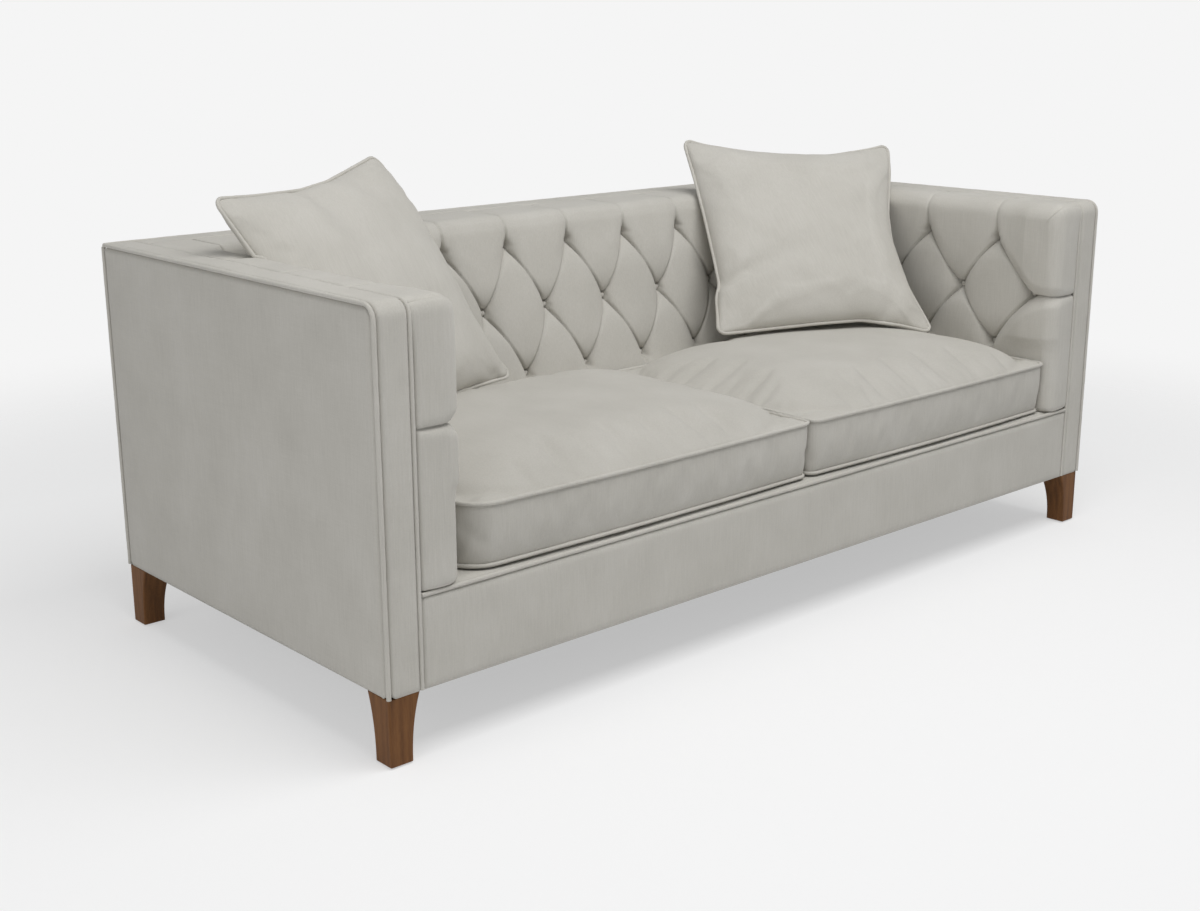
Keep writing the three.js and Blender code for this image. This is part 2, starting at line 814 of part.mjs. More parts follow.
function armButtonTies() {
  const rearEnd = uprightY(topRailFloor) - tuftDepth;
  const front = frontFace + bandCornerRadius;
  const sheet = box(bandInner, bandInner + backingThickness, front, rearEnd, padFloor, frameTop);
  const ties = armTies().flatMap((tie) => [
    armTie(tie, twineHalfWidth),
    button().rotateZ(Math.PI / 2).translate(tie.x - fit, tie.y, tie.z),
  ]);
  return join(sheet, ...ties);
}

// Deck and covers

function seatDeck() {
  const end = frameInner - fit;
  return box(-end, end, frameFront, uprightY(railTop) - fit, deckFloor, deckHeight);
}

// The outer arm's padded panel, rounded at its top front corner inside the welt.
function outerArm() {
  const radius = bandCornerRadius - weltNotch;
  const front = frontFace + weltNotch;
  const top = shellHeight - weltNotch;
  const corner = arcPoints(front + radius, top - radius, radius, Math.PI, Math.PI / 2, 5);
  const rear = backFace - weltNotch;
  const profile = outline([[front, legHeight], ...corner, [rear, top], [rear, legHeight]]);
  return alongX(profile, halfWidth - coverThickness, halfWidth);
}

function outerBack() {
  return box(-frameOuter, frameOuter, backFace - coverThickness, backFace, legHeight, shellHeight - weltNotch);
}

// The band runs up the front of the arm, round its corner and back along its top.
function armBand() {
  const centreY = frontFace + bandCornerRadius;
  const centreZ = shellHeight - bandCornerRadius;
  const innerRadius = bandCornerRadius - coverThickness;
  const outer = arcPoints(centreY, centreZ, bandCornerRadius, Math.PI, Math.PI / 2, 6);
  const inner = arcPoints(centreY, centreZ, innerRadius, Math.PI / 2, Math.PI, 6);
  const profile = outline([
    [frontFace, legHeight],
    ...outer,
    [frameBack, shellHeight],
    [frameBack, shellHeight - coverThickness],
    ...inner,
    [frontFace + coverThickness, legHeight],
  ]);
  return alongX(profile, bandInner, frameOuter);
}

function backBand() {
  const end = bandInner - fit;
  return box(-end, end, backSeam, frameBack, shellHeight - coverThickness, shellHeight);
}

function frontRailCover() {
  const end = padOuter - weltNotch;
  const top = deckHeight - weltNotch;
  return box(-end, end, frontFace, frontFace + coverThickness, legHeight, top);
}

function dustCloth() {
  const cloth = box(-frameOuter, frameOuter, frameFront, frameBack, legHeight, legHeight + dustClothThickness);
  const hole = boltHole();
  const left = mirrored(hole, "x");
  return cut(cloth, hole, left, mirrored(hole, "y"), mirrored(left, "y"));
}

// Welts

function outerArmWelt() {
  const x = halfWidth - weltRadius;
  const radius = bandCornerRadius - weltRadius;
  const centreY = frontFace + bandCornerRadius;
  const centreZ = shellHeight - bandCornerRadius;
  const corner = arcPoints(centreY, centreZ, radius, Math.PI, Math.PI / 2, 6);
  const path = [
    [x, frontFace + weltRadius, legHeight],
    ...corner.map(([y, z]) => [x, y, z]),
    [x, backFace - weltNotch - fit, shellHeight - weltRadius],
  ];
  return cordAlong(path, weltRadius);
}

// The cord in the seam between the facing and the arm pad, and between the facing and the front rail.
function facingWelt() {
  const top = shellHeight - bandCornerRadius;
  const cord = new THREE.CylinderGeometry(weltRadius, weltRadius, top - legHeight, 8);
  const upright = cord.rotateY(Math.PI / 8).rotateX(Math.PI / 2);
  return upright.translate(padOuter - weltRadius, frontFace + weltRadius, (top + legHeight) / 2);
}

function frontRailWelt() {
  const end = padOuter - weltNotch;
  const y = frontFace + weltRadius;
  const z = deckHeight - weltRadius;
  const bar = new THREE.CylinderGeometry(weltRadius, weltRadius, 2 * end, 8);
  return bar.rotateY(Math.PI / 8).rotateZ(Math.PI / 2).translate(0, y, z);
}

// One cord up a back corner, along the top of the back and down the other corner.
function outerBackWelt() {
  const y = backFace - weltRadius;
  const x = halfWidth - weltRadius;
  const z = shellHeight - weltRadius;
  const radius = weltRadius;
  const right = arcPoints(x - radius, z - radius, radius, 0, Math.PI / 2, 4);
  const left = arcPoints(radius - x, z - radius, radius, Math.PI / 2, Math.PI, 4);
  const path = [[x, y, legHeight], ...[...right, ...left].map(([a, b]) => [a, y, b]), [-x, y, legHeight]];
  return cordAlong(path, weltRadius);
}

// Seat cushions

// A rounded rectangle, square to the axes, with a bowed front and drawn-in sides.
function seatOutline(x0, x1, y0, y1, share, [left, right]) {
  const rear = seatRearRadius;
  const points = [
    ...arcPoints(x0 + left, y0 + left, left, Math.PI, (Math.PI * 3) / 2, 4),
    ...betweenPoints([x0 + left, y0], [x1 - right, y0], 5, -seatFrontBow),
    ...arcPoints(x1 - right, y0 + right, right, (Math.PI * 3) / 2, Math.PI * 2, 4),
    ...betweenPoints([x1, y0 + right], [x1, y1 - rear], 3, -seatSideDraw),
    ...arcPoints(x1 - rear, y1 - rear, rear, 0, Math.PI / 2, 2),
    ...betweenPoints([x1 - rear, y1], [x0 + rear, y1], 4, 0),
    ...arcPoints(x0 + rear, y1 - rear, rear, Math.PI / 2, Math.PI, 2),
    ...betweenPoints([x0, y1 - rear], [x0, y0 + left], 3, -seatSideDraw),
  ];
  const middle = [(x0 + x1) / 2, (y0 + y1) / 2];
  return points.map(([x, y]) => [middle[0] + (x - middle[0]) * share, middle[1] + (y - middle[1]) * share]);
}

// Points inside a straight side, bowed by a distance: outwards in front, inwards at the sides.
function betweenPoints(from, to, count, bow) {
  const length = Math.hypot(to[0] - from[0], to[1] - from[1]);
  const out = [(to[1] - from[1]) / length, -(to[0] - from[0]) / length];
  const inward = Math.abs(out[1]) > Math.abs(out[0]) ? -1 : 1;
  return Array.from({ length: count }, (_, i) => {
    const t = (i + 1) / (count + 1);
    const push = bow * inward * Math.sin(t * Math.PI);
    return [from[0] + (to[0] - from[0]) * t + out[0] * push, from[1] + (to[1] - from[1]) * t + out[1] * push];
  });
}

// A box cushion: flat where it bears on the deck, a boxing between two welts and a crowned top.
function seatCushion(x0, x1, frontRadii) {
  const front = frontFace + seatFrontSetback + seatFrontBow;
  const welt = seatWelt / 2;
  const inset = welt / ((x1 - x0) / 2);
  const floor = deckHeight + fit;
  const [flatMiddle, flatEdge, turnedUp] = seatUndersideShares;
  const layers = [
    { share: flatMiddle, z: floor },
    { share: flatEdge, z: floor },
    { share: turnedUp, z: floor + seatUnderside / 2 },
    { share: 1 - inset, z: seatLowerWelt - welt },
    { share: 1, z: seatLowerWelt },
    { share: 1 - inset, z: seatLowerWelt + welt },
    { share: 1 - inset / 2, z: (seatLowerWelt + seatUpperWelt) / 2 },
    { share: 1 - inset, z: seatUpperWelt - welt },
    { share: 1, z: seatUpperWelt },
    { share: 1 - inset, z: seatUpperWelt + welt },
    ...seatCrownShares.map((share) => ({
      share,
      z: seatUpperWelt + welt + (seatCrown - welt) * (1 - share ** seatCrownShare),
    })),
  ];
  const rings = layers.map(({ share, z }) => {
    const rear = crestY(Math.min(z, seatUpperWelt)) - 2 * fit;
    return seatOutline(x0, x1, front, rear, share, frontRadii).map(([x, y]) => [x, y, z]);
  });
  return loft(rings);
}

// Scatter cushions

// A square with drawn-in sides, so that its corners stand out like ears.
function scatterOutline() {
  const half = scatterSize / 2;
  const r = scatterCornerRadius;
  const steps = 5;
  const points = [];
  for (let side = 0; side < 4; side++) {
    const turn = (side * Math.PI) / 2;
    const quarter = [
      ...arcPoints(half - r, half - r, r, 0, Math.PI / 2, 2),
      ...Array.from({ length: steps }, (_, i) => {
        const t = (i + 1) / (steps + 1);
        return [(half - r) * (1 - 2 * t), half - scatterSideDraw * Math.sin(t * Math.PI)];
      }),
    ];
    points.push(...quarter.map(([x, y]) => [
      x * Math.cos(turn) - y * Math.sin(turn),
      x * Math.sin(turn) + y * Math.cos(turn),
    ]));
  }
  return points;
}

// A knife-edge cushion with a welt in its seam. It stands in X and Z, with its face towards -Y.
function scatterCushion() {
  const flat = scatterOutline();
  const welt = scatterWelt / 2;
  const inset = scatterWelt / scatterSize;
  const fullness = (share) => (1 - share ** scatterFlatShare) ** scatterFullShare;
  const swell = (share) => welt / 2 + ((scatterThickness - welt) / 2) * fullness(share);
  const oneSide = [
    ...scatterFaceShares.map((share) => ({ share, y: swell(share) })),
    { share: 1 - 2 * inset, y: welt * scatterShoulderShare },
    { share: 1 - inset, y: welt },
  ];
  const layers = [
    ...oneSide,
    { share: 1, y: 0 },
    ...oneSide.map(({ share, y }) => ({ share, y: -y })).reverse(),
  ];
  const rings = layers.map(({ share, y }) => flat.map(([x, z]) => [x * share, y, z * share]));
  return loft(rings);
}

// Each cushion's turn about Z, its tilt back and its roll in its own plane, in degrees.
const scatterPlaces = {
  right: {
    middle: [armFace - rightScatterIn, crestY(deckHeight) - rightScatterForward, seatTop + rightScatterAbove],
    turn: -26,
    tilt: -40,
    roll: 3.1,
  },
  left: {
    middle: [leftScatterIn - armFace, crestY(deckHeight) - leftScatterForward, seatTop + leftScatterAbove],
    turn: 20.8,
    tilt: -33.4,
    roll: -4.5,
  },
};

// A scatter cushion leans where it is put, and is pressed flat where it rests on its seat cushion,
// on the back's tufts and on the arm's.
function scatterOn(seat, back, arm, { middle, turn, tilt, roll }) {
  const degree = Math.PI / 180;
  const lean = new THREE.Matrix4()
    .makeRotationZ(turn * degree)
    .multiply(new THREE.Matrix4().makeRotationX(tilt * degree))
    .multiply(new THREE.Matrix4().makeRotationY(roll * degree));
  const cushion = scatterCushion().applyMatrix4(lean).translate(...middle);
  const inward = -Math.sign(middle[0]) * fit;
  const sides = [-fit, 0, fit];
  return cut(
    cushion,
    seat.clone().translate(0, 0, fit),
    ...sides.map((side) => back.clone().translate(side, -fit, Math.abs(side))),
    ...sides.map((side) => arm.clone().translate(inward, side, Math.abs(side))),
  );
}

// Legs

// The back right leg: its two outer faces are upright, its two inner faces curve in towards the foot.
function legAndBolt() {
  const outer = halfWidth - legInset;
  const rear = backFace - legInset;
  const top = legHeight - fit;
  const rings = Array.from({ length: legRings + 1 }, (_, i) => {
    const t = i / legRings;
    const width = legFootWidth + (legTopWidth - legFootWidth) * t ** legCurveShare;
    const z = glideThickness + (top - glideThickness) * t;
    return legSection(outer - width, outer, rear - width, rear).map(([x, y]) => [x, y, z]);
  });
  const glide = new THREE.CylinderGeometry(glideDiameter / 2, glideDiameter / 2, 2 * glideThickness, 12)
    .rotateX(Math.PI / 2)
    .translate(outer - legFootWidth / 2, rear - legFootWidth / 2, glideThickness);
  const bolt = new THREE.CylinderGeometry(boltDiameter / 2, boltDiameter / 2, 2 * boltLength, 10)
    .rotateX(Math.PI / 2)
    .translate(legCentre(), legCentre() - halfWidth + backFace, top);
  const above = box(0, sofaWidth, 0, sofaWidth, top - boltDiameter, top + boltLength);
  const shank = toGeometry(toSolid(bolt).intersect(toSolid(above)));
  return join(loft(rings), glide, shank);
}

function legSection(x0, x1, y0, y1) {
  const c = legChamfer;
  return [
    [x0 + c, y0], [x1 - c, y0], [x1, y0 + c], [x1, y1 - c],
    [x1 - c, y1], [x0 + c, y1], [x0, y1 - c], [x0, y0 + c],
  ];
}

// Assembly

add("front_seat_rail", seatCrossRail(-1), beech);
add("back_seat_rail", seatCrossRail(1), beech);
addPair("side_seat_rail", sideSeatRail(), beech);
add("rear_spring_rail", rearSpringRail(), beech);
add("centre_stretcher", centreStretcher(), beech);
addPair("corner_block_back", cornerBlock(), beech);
addPair("corner_block_front", mirrored(cornerBlock(), "y"), beech);
addPair("arm_back_post", cornerPost(), beech);
addPair("arm_front_post", mirrored(cornerPost(), "y"), beech);
addPair("arm_top_rail", armTopRail(), beech);
addPair("arm_stay", armStay(), beech);
add("back_top_rail", backTopRail(), beech);
addPair("back_upright", backUpright(), beech);

for (let i = 0; i < springCount; i++) {
  const x = (i - (springCount - 1) / 2) * springSpacing;
  add("zigzag_spring_" + (i + 1), zigzagSpring(x), springSteel);
}

add("seat_deck", seatDeck(), linen);
add("back_button_ties", backButtonTies(), hessian);
addPair("arm_button_ties", armButtonTies(), hessian);
const backTufts = backPad();
const rightArmTufts = armPad();
add("back_pad", backTufts, linen);
addPair("arm_pad", rightArmTufts, linen);

addPair("outer_arm", outerArm(), linen);
add("outer_back", outerBack(), linen);
addPair("arm_band", armBand(), linen);
add("back_band", backBand(), linen);
add("front_rail_cover", frontRailCover(), linen);
add("dust_cloth", dustCloth(), dustBlack);
addPair("outer_arm_welt", outerArmWelt(), linen);
addPair("facing_welt", facingWelt(), linen);
add("front_rail_welt", frontRailWelt(), linen);
add("outer_back_welt", outerBackWelt(), linen);

const tight = seatTightCornerRadius;
const leftSeat = seatCushion(-armFace + seatGapLeft, seatSplit - seatGap / 2, [seatCornerRadius, tight]);
const rightSeat = seatCushion(seatSplit + seatGap / 2, armFace - seatGapRight, [tight, tight]);
add("seat_cushion_left", leftSeat, seatLinen);
add("seat_cushion_right", rightSeat, seatLinen);
const leftArmTufts = mirrored(rightArmTufts, "x");
add("scatter_cushion_left", scatterOn(leftSeat, backTufts, leftArmTufts, scatterPlaces.left), linen);
add("scatter_cushion_right", scatterOn(rightSeat, backTufts, rightArmTufts, scatterPlaces.right), linen);

addPair("leg_back", legAndBolt(), walnut);
addPair("leg_front", mirrored(legAndBolt(), "y"), walnut);

export default sofa;
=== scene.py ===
import math

import bmesh
import bpy
import numpy as np
from mathutils import Matrix, Vector
from mathutils.bvhtree import BVHTree


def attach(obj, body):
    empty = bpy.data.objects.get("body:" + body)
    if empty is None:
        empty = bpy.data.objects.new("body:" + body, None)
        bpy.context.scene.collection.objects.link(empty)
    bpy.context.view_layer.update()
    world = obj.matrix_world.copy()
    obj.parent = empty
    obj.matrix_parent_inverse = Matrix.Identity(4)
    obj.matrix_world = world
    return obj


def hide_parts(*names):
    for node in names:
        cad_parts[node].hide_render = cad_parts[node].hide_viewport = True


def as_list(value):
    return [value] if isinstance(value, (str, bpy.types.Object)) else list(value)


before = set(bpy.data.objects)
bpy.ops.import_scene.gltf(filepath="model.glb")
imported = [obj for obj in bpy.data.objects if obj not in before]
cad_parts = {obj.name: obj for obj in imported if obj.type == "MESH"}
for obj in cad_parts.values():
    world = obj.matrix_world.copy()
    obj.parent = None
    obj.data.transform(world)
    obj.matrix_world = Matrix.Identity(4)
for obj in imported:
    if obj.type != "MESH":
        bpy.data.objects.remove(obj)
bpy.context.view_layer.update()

# Sizes in millimetres, in the part's own frame: X to the right, the front at -Y, Z up.
MM = 0.001
HALF_WIDTH = 1050
HALF_DEPTH = 480
SHELL_HEIGHT = 806
LEG_HEIGHT = 128
DECK_HEIGHT = 303
FRAME_OUTER = 1040.2
FRAME_DEPTH = 470.2
BAND_INNER = 981
ARM_FACE = 886
BACK_SEAM = 411
PAD_TOP = 805
COVER = 9.5
WELT = 4.2
BAND_CORNER = 28
TUFT_DEPTH = 45
# Half the run of the rails' covers between the facings, and of the outer panels between the welts.
RAIL_HALF = 971.4
PANEL_HALF_DEPTH = 470.7
# Covers, welts and pads keep this much clear of each other.
CLEARANCE = 0.3
SEAT_LOWER_WELT = 310.5
SEAT_UPPER_WELT = 426.3
SIDES = ((1, "right"), (-1, "left"))


def crest_y(z):
    """Where the tops of the back's tufts lie at a height: the back leans by 136 mm over 503 mm."""
    return 275 - (SHELL_HEIGHT - z) * 136 / 503


# Mesh helpers

def grid_of(columns, rows):
    """A bmesh grid of quads, with the place of each vertex in it from -1 to 1."""
    bm = bmesh.new()
    bmesh.ops.create_grid(bm, x_segments=columns, y_segments=rows, size=1)
    bm.verts.ensure_lookup_table()
    return bm, np.array([v.co for v in bm.verts])[:, :2]


def put(bm, points):
    """Moves the vertices to points in millimetres."""
    for vert, point in zip(bm.verts, (np.asarray(points) * MM).tolist()):
        vert.co = point


def spots(bm):
    """The vertices' places in millimetres."""
    return np.array([v.co for v in bm.verts]) / MM


def read(mesh, what="co"):
    """A mesh's places, in metres, or its normals."""
    values = np.zeros(len(mesh.vertices) * 3)
    mesh.vertices.foreach_get(what, values)
    return values.reshape(-1, 3)


def write(mesh, points):
    """Moves a mesh's vertices to points in metres."""
    mesh.vertices.foreach_set("co", points.ravel())
    mesh.update()


def finish_padded(obj):
    smooth = obj.modifiers.new("smooth", "SUBSURF")
    smooth.levels = smooth.render_levels = 1


def thicken(obj, thickness):
    """Gives a sheet of cloth its thickness in millimetres."""
    wall = obj.modifiers.new("cloth", "SOLIDIFY")
    wall.thickness = thickness * MM
    wall.offset = 0


def close_behind(bm, place):
    """Turns the open border back to place(points), and closes it with one hidden face."""
    rim = [e for e in bm.edges if e.is_boundary]
    made = bmesh.ops.extrude_edge_only(bm, edges=rim)["geom"]
    verts = [g for g in made if isinstance(g, bmesh.types.BMVert)]
    for vert, point in zip(verts, place(np.array([v.co for v in verts]) / MM).tolist()):
        vert.co = Vector(point) * MM
    bmesh.ops.edgeloop_fill(bm, edges=[e for e in bm.edges if e.is_boundary])
    bmesh.ops.recalc_face_normals(bm, faces=bm.faces[:])


def piece(name, bm, material, body="sofa", replaced=(), smooth=True):
    """A finished mesh as a named piece that rides on its body."""
    mesh = bpy.data.meshes.new(name)
    bm.to_mesh(mesh)
    bm.free()
    mesh.materials.append(material)
    if smooth:
        mesh.shade_smooth()
    obj = bpy.data.objects.new(name, mesh)
    bpy.context.scene.collection.objects.link(obj)
    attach(obj, body)
    if replaced:
        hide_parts(*replaced)
    return obj


def ripple(points, wavelength, seed):
    """Smooth waves in many directions, about -1 to 1, the same on each run."""
    rng = np.random.default_rng(seed)
    total = np.zeros(len(points))
    for _ in range(8):
        heading = rng.normal(size=3)
        heading *= 2 * math.pi * rng.uniform(0.7, 1.4) / (wavelength * np.linalg.norm(heading))
        total += np.sin(points @ heading + rng.uniform(0, 2 * math.pi))
    return total / 3


def rolled(distance, radius):
    """How far a rounded edge has dropped at a distance from the edge."""
    inside = np.clip(radius - distance, 0, radius)
    return radius - np.sqrt(radius ** 2 - inside ** 2)


def rounded(u, v, half_u, half_v, radius):
    """Draws the square corners of a grid in to round ones; radius may differ from point to point."""
    a = np.clip((np.abs(u) - (half_u - radius)) / np.maximum(radius, 1e-6), 0, 1)
    b = np.clip((np.abs(v) - (half_v - radius)) / np.maximum(radius, 1e-6), 0, 1)
    drawn_a = a * (np.sqrt(1 - b ** 2 / 2) - 1) * radius
    drawn_b = b * (np.sqrt(1 - a ** 2 / 2) - 1) * radius
    return u + np.sign(u) * drawn_a, v + np.sign(v) * drawn_b


def cord_into(bm, path, radius, closed=False, seed=0):
    """Adds a round cord, a little uneven as sewn piping is, along a path in millimetres."""
    path = np.asarray(path, float)
    curve = bpy.data.curves.new("cord", "CURVE")
    curve.dimensions = "3D"
    curve.bevel_depth = radius * MM
    curve.bevel_resolution = 3
    curve.use_fill_caps = True
    spline = curve.splines.new("POLY")
    spline.points.add(len(path) - 1)
    spline.use_cyclic_u = closed
    uneven = 1 + 0.035 * ripple(path, 45, seed)
    for point, place, size in zip(spline.points, path * MM, uneven):
        point.co = (*place, 1)
        point.radius = size
    holder = bpy.data.objects.new("cord", curve)
    mesh = bpy.data.meshes.new_from_object(holder)
    bm.from_mesh(mesh)
    bpy.data.objects.remove(holder)
    bpy.data.curves.remove(curve)
    bpy.data.meshes.remove(mesh)


def stepped(path, step):
    """The same path with points a step apart."""
    path = np.asarray(path, float)
    run = np.concatenate([[0], np.cumsum(np.linalg.norm(np.diff(path, axis=0), axis=1))])
    at = np.linspace(0, run[-1], max(2, int(run[-1] / step) + 1))
    return np.stack([np.interp(at, run, path[:, k]) for k in range(3)], 1)


def arc(centre, radius, start, end, steps=8):
    """Points of an arc in a plane, with its angles in degrees."""
    angles = np.radians(np.linspace(start, end, steps + 1))
    return [(centre[0] + radius * math.cos(a), centre[1] + radius * math.sin(a)) for a in angles]


# Material helpers

def linear(hex_colour):
    """An sRGB hex colour as the linear colour that a socket takes."""
    channels = [int(hex_colour[i:i + 2], 16) / 255 for i in (0, 2, 4)]
    return (*[c / 12.92 if c <= 0.04045 else ((c + 0.055) / 1.055) ** 2.4 for c in channels], 1)


def plug(tree, node, inputs):
    """Gives a node's sockets their values, or links them to another node's output."""
    for key, value in inputs.items():
        if isinstance(value, bpy.types.NodeSocket):
            tree.links.new(value, node.inputs[key])
        else:
            node.inputs[key].default_value = value


def add_node(tree, kind, inputs, stops=(), **settings):
    """A new node with its inputs and settings; stops are a ramp's places and hex colours."""
    node = tree.nodes.new(kind)
    for key, value in settings.items():
        setattr(node, key, value)
    plug(tree, node, inputs)
    if stops:
        elements = node.color_ramp.elements
        while len(elements) < len(stops):
            elements.new(0.5)
        for element, (place, colour) in zip(elements, stops):
            element.position = place
            element.color = linear(colour)
    return node


def new_material(name):
    """A material with its node tree, its shader and its object coordinates."""
    material = bpy.data.materials.new(name)
    material.use_nodes = True
    tree = material.node_tree
    shader = tree.nodes["Principled BSDF"]
    place = add_node(tree, "ShaderNodeTexCoord", {}).outputs["Object"]
    return material, tree, shader, place


def streaks(tree, place, fine_mm, long_mm, axis, detail=2.0):
    """Noise drawn out along one axis, as a thread, slub or wood fibre is."""
    scale = [1 / (fine_mm * MM)] * 3
    scale[axis] = 1 / (long_mm * MM)
    mapped = add_node(tree, "ShaderNodeMapping", {"Vector": place, "Scale": scale}).outputs[0]
    inputs = {"Vector": mapped, "Scale": 1.0, "Detail": detail}
    return add_node(tree, "ShaderNodeTexNoise", inputs).outputs["Fac"]


def blend_of(tree, *values):
    """The mean of several grey values."""
    total = values[0]
    for value in values[1:]:
        total = add_node(tree, "ShaderNodeMath", {0: total, 1: value}, operation="ADD").outputs[0]
    share = {0: total, 1: 1 / len(values)}
    return add_node(tree, "ShaderNodeMath", share, operation="MULTIPLY").outputs[0]


def seen_directly(tree):
    """1 for camera, glossy and transmission rays, and 0 for the light that falls on the object."""
    rays = add_node(tree, "ShaderNodeLightPath", {}).outputs
    seen = rays["Is Camera Ray"]
    for kind in ("Is Glossy Ray", "Is Transmission Ray"):
        either = {0: seen, 1: rays[kind]}
        seen = add_node(tree, "ShaderNodeMath", either, operation="MAXIMUM").outputs[0]
    return seen


# Linen union, plain woven from slubby yarn: matt, with fine threads both ways and a soft pale bloom.
def linen(name, colours, turn=(0, 0, 0)):
    material, tree, shader, place = new_material(name)
    place = add_node(tree, "ShaderNodeMapping", {"Vector": place, "Rotation": turn}).outputs[0]
    # Threads lie 0.9 mm apart in the cloth. The slubs that the eye picks out are 2.2 mm wide and
    # 55 mm long.
    slubs = blend_of(tree, *[streaks(tree, place, 2.2, 55, axis, 1.0) for axis in (1, 2, 2)])
    threads = blend_of(tree, *[streaks(tree, place, 0.9, 7, axis, 1.0) for axis in range(3)])
    # Cloth takes up its dye a little unevenly, in clouds about 120 mm across.
    soft = {"Vector": place, "Scale": 1 / (120 * MM), "Detail": 3.0}
    clouds = add_node(tree, "ShaderNodeTexNoise", soft).outputs["Fac"]
    mix = blend_of(tree, slubs, threads, clouds)
    stops = list(zip((0.34, 0.5, 0.66), colours))
    weave = {"Height": threads, "Strength": 0.3, "Distance": 0.4 * MM}
    yarn = {
        "Height": slubs,
        "Strength": 0.25,
        "Distance": 0.5 * MM,
        "Normal": add_node(tree, "ShaderNodeBump", weave).outputs[0],
    }
    plug(tree, shader, {
        "Base Color": add_node(tree, "ShaderNodeValToRGB", {"Fac": mix}, stops).outputs["Color"],
        "Roughness": 0.92,
        "IOR": 1.45,
        "Specular IOR Level": 0.25,
        "Sheen Weight": 0.12,
        "Sheen Roughness": 0.6,
        "Normal": add_node(tree, "ShaderNodeBump", yarn).outputs[0],
    })
    return material


# Wood, sawn with its grain upright or lengthways: pores as fine dark dashes, with broad growth figure.
def timber(name, colours, axis):
    material, tree, shader, place = new_material(name)
    # Growth rings read as bands about 9 mm wide, drawn out 20 times along the grain. Pores are
    # drawn 0.7 mm wide, a little wider than they are, so that they show.
    figure = streaks(tree, place, 9, 190, axis, detail=3.0)
    pores = streaks(tree, place, 0.7, 16, axis, detail=1.0)
    mix = blend_of(tree, figure, figure, pores)
    stops = list(zip((0.36, 0.5, 0.66), colours))
    grain = {"Height": pores, "Strength": 0.3, "Distance": 0.2 * MM}
    plug(tree, shader, {
        "Base Color": add_node(tree, "ShaderNodeValToRGB", {"Fac": mix}, stops).outputs["Color"],
        "Roughness": 0.6,
        "IOR": 1.5,
        "Specular IOR Level": 0.3,
        "Normal": add_node(tree, "ShaderNodeBump", grain).outputs[0],
    })
    return material


# Jute hessian and twine: coarse open weave, dull and hairy.
def jute(name, colours):
    material, tree, shader, place = new_material(name)
    # Hessian has a thread about every 2.5 mm.
    weave = blend_of(tree, *[streaks(tree, place, 2.5, 30, axis) for axis in range(3)])
    stops = list(zip((0.4, 0.6), colours))
    threads = {"Height": weave, "Strength": 0.9, "Distance": 1.2 * MM}
    plug(tree, shader, {
        "Base Color": add_node(tree, "ShaderNodeValToRGB", {"Fac": weave}, stops).outputs["Color"],
        "Roughness": 0.95,
        "Normal": add_node(tree, "ShaderNodeBump", threads).outputs[0],
    })
    return material


# Spun-bonded polypropylene: flat black felt of short fibres with a faint dimpled press.
def spunbond(name, colours):
    material, tree, shader, place = new_material(name)
    # The press leaves a dimple about every 3 mm, and the fibres bunch about every 8 mm.
    dimples = {"Vector": place, "Scale": 1 / (3 * MM)}
    press = add_node(tree, "ShaderNodeTexVoronoi", dimples).outputs["Distance"]
    bunches = {"Vector": place, "Scale": 1 / (8 * MM), "Detail": 4.0}
    fibres = add_node(tree, "ShaderNodeTexNoise", bunches).outputs["Fac"]
    mix = blend_of(tree, press, fibres)
    stops = list(zip((0.3, 0.7), colours))
    pressed = {"Height": press, "Strength": 0.4, "Distance": 0.3 * MM}
    plug(tree, shader, {
        "Base Color": add_node(tree, "ShaderNodeValToRGB", {"Fac": mix}, stops).outputs["Color"],
        "Roughness": 0.8,
        "Normal": add_node(tree, "ShaderNodeBump", pressed).outputs[0],
    })
    return material


# Drawn steel: bright or blued wire and turned fittings, with fine draw marks.
def steel(name, colours, roughness):
    material, tree, shader, place = new_material(name)
    # Draw marks are fine scratches, drawn here 1.5 mm apart so that they show.
    marks = streaks(tree, place, 1.5, 20, 1)
    stops = list(zip((0.35, 0.65), colours))
    scratches = {"Height": marks, "Strength": 0.2, "Distance": 0.1 * MM}
    plug(tree, shader, {
        "Base Color": add_node(tree, "ShaderNodeValToRGB", {"Fac": marks}, stops).outputs["Color"],
        "Metallic": 1.0,
        "Roughness": roughness,
        "Normal": add_node(tree, "ShaderNodeBump", scratches).outputs[0],
    })
    return material


# Each material's colours run from the darkest in its pattern to the palest.
# Pale linen for the scatter cushions, and for the piping, where its paleness is a painted highlight.
PALE_LINEN = ("bdbab2", "c6c3bb", "cecbc4")
cover_linen = linen("woven linen cover", ("bbb8b0", "c4c1b9", "ccc9c2"))
seat_linen = linen("woven linen seat", ("b8b5ad", "c1beb6", "c9c6bf"))
# The piping is a paler copy of the cover's linen: a painted highlight for the light that each round cord
# catches.
piping_highlight_linen = linen("linen piping with painted highlight", PALE_LINEN)
walnut = timber("oiled walnut", ("583718", "6a4421", "7b522b"), 2)
beech = timber("planed beech", ("b08858", "c9a274", "dab98d"), 0)
hessian = jute("jute hessian", ("8a6f45", "b59a6c"))
black_cloth = spunbond("black spunbond", ("141414", "2c2c2c"))
spring_steel = steel("drawn spring steel", ("5c6066", "8f949a"), 0.38)
glide_steel = steel("nickel plated steel", ("8d8f92", "b9bbbe"), 0.3)


# Tufted pads

def relax(start, fixed, load, across, along):
    """Spreads fixed values smoothly over a grid, under an even load, as a skin over its frame."""
    value = start.astype(float).copy()
    wx, wy = 1 / across ** 2, 1 / along ** 2
    checks = np.indices(value.shape).sum(0) % 2
    for _ in range(260):
        for colour in (0, 1):
            edge = np.pad(value, 1, mode="edge")
            pull = wx * (edge[2:, 1:-1] + edge[:-2, 1:-1]) + wy * (edge[1:-1, 2:] + edge[1:-1, :-2])
            target = (pull + load) / (2 * (wx + wy))
            turn = ~fixed & (checks == colour)
            value[turn] += 1.85 * (target - value)[turn]
    return value


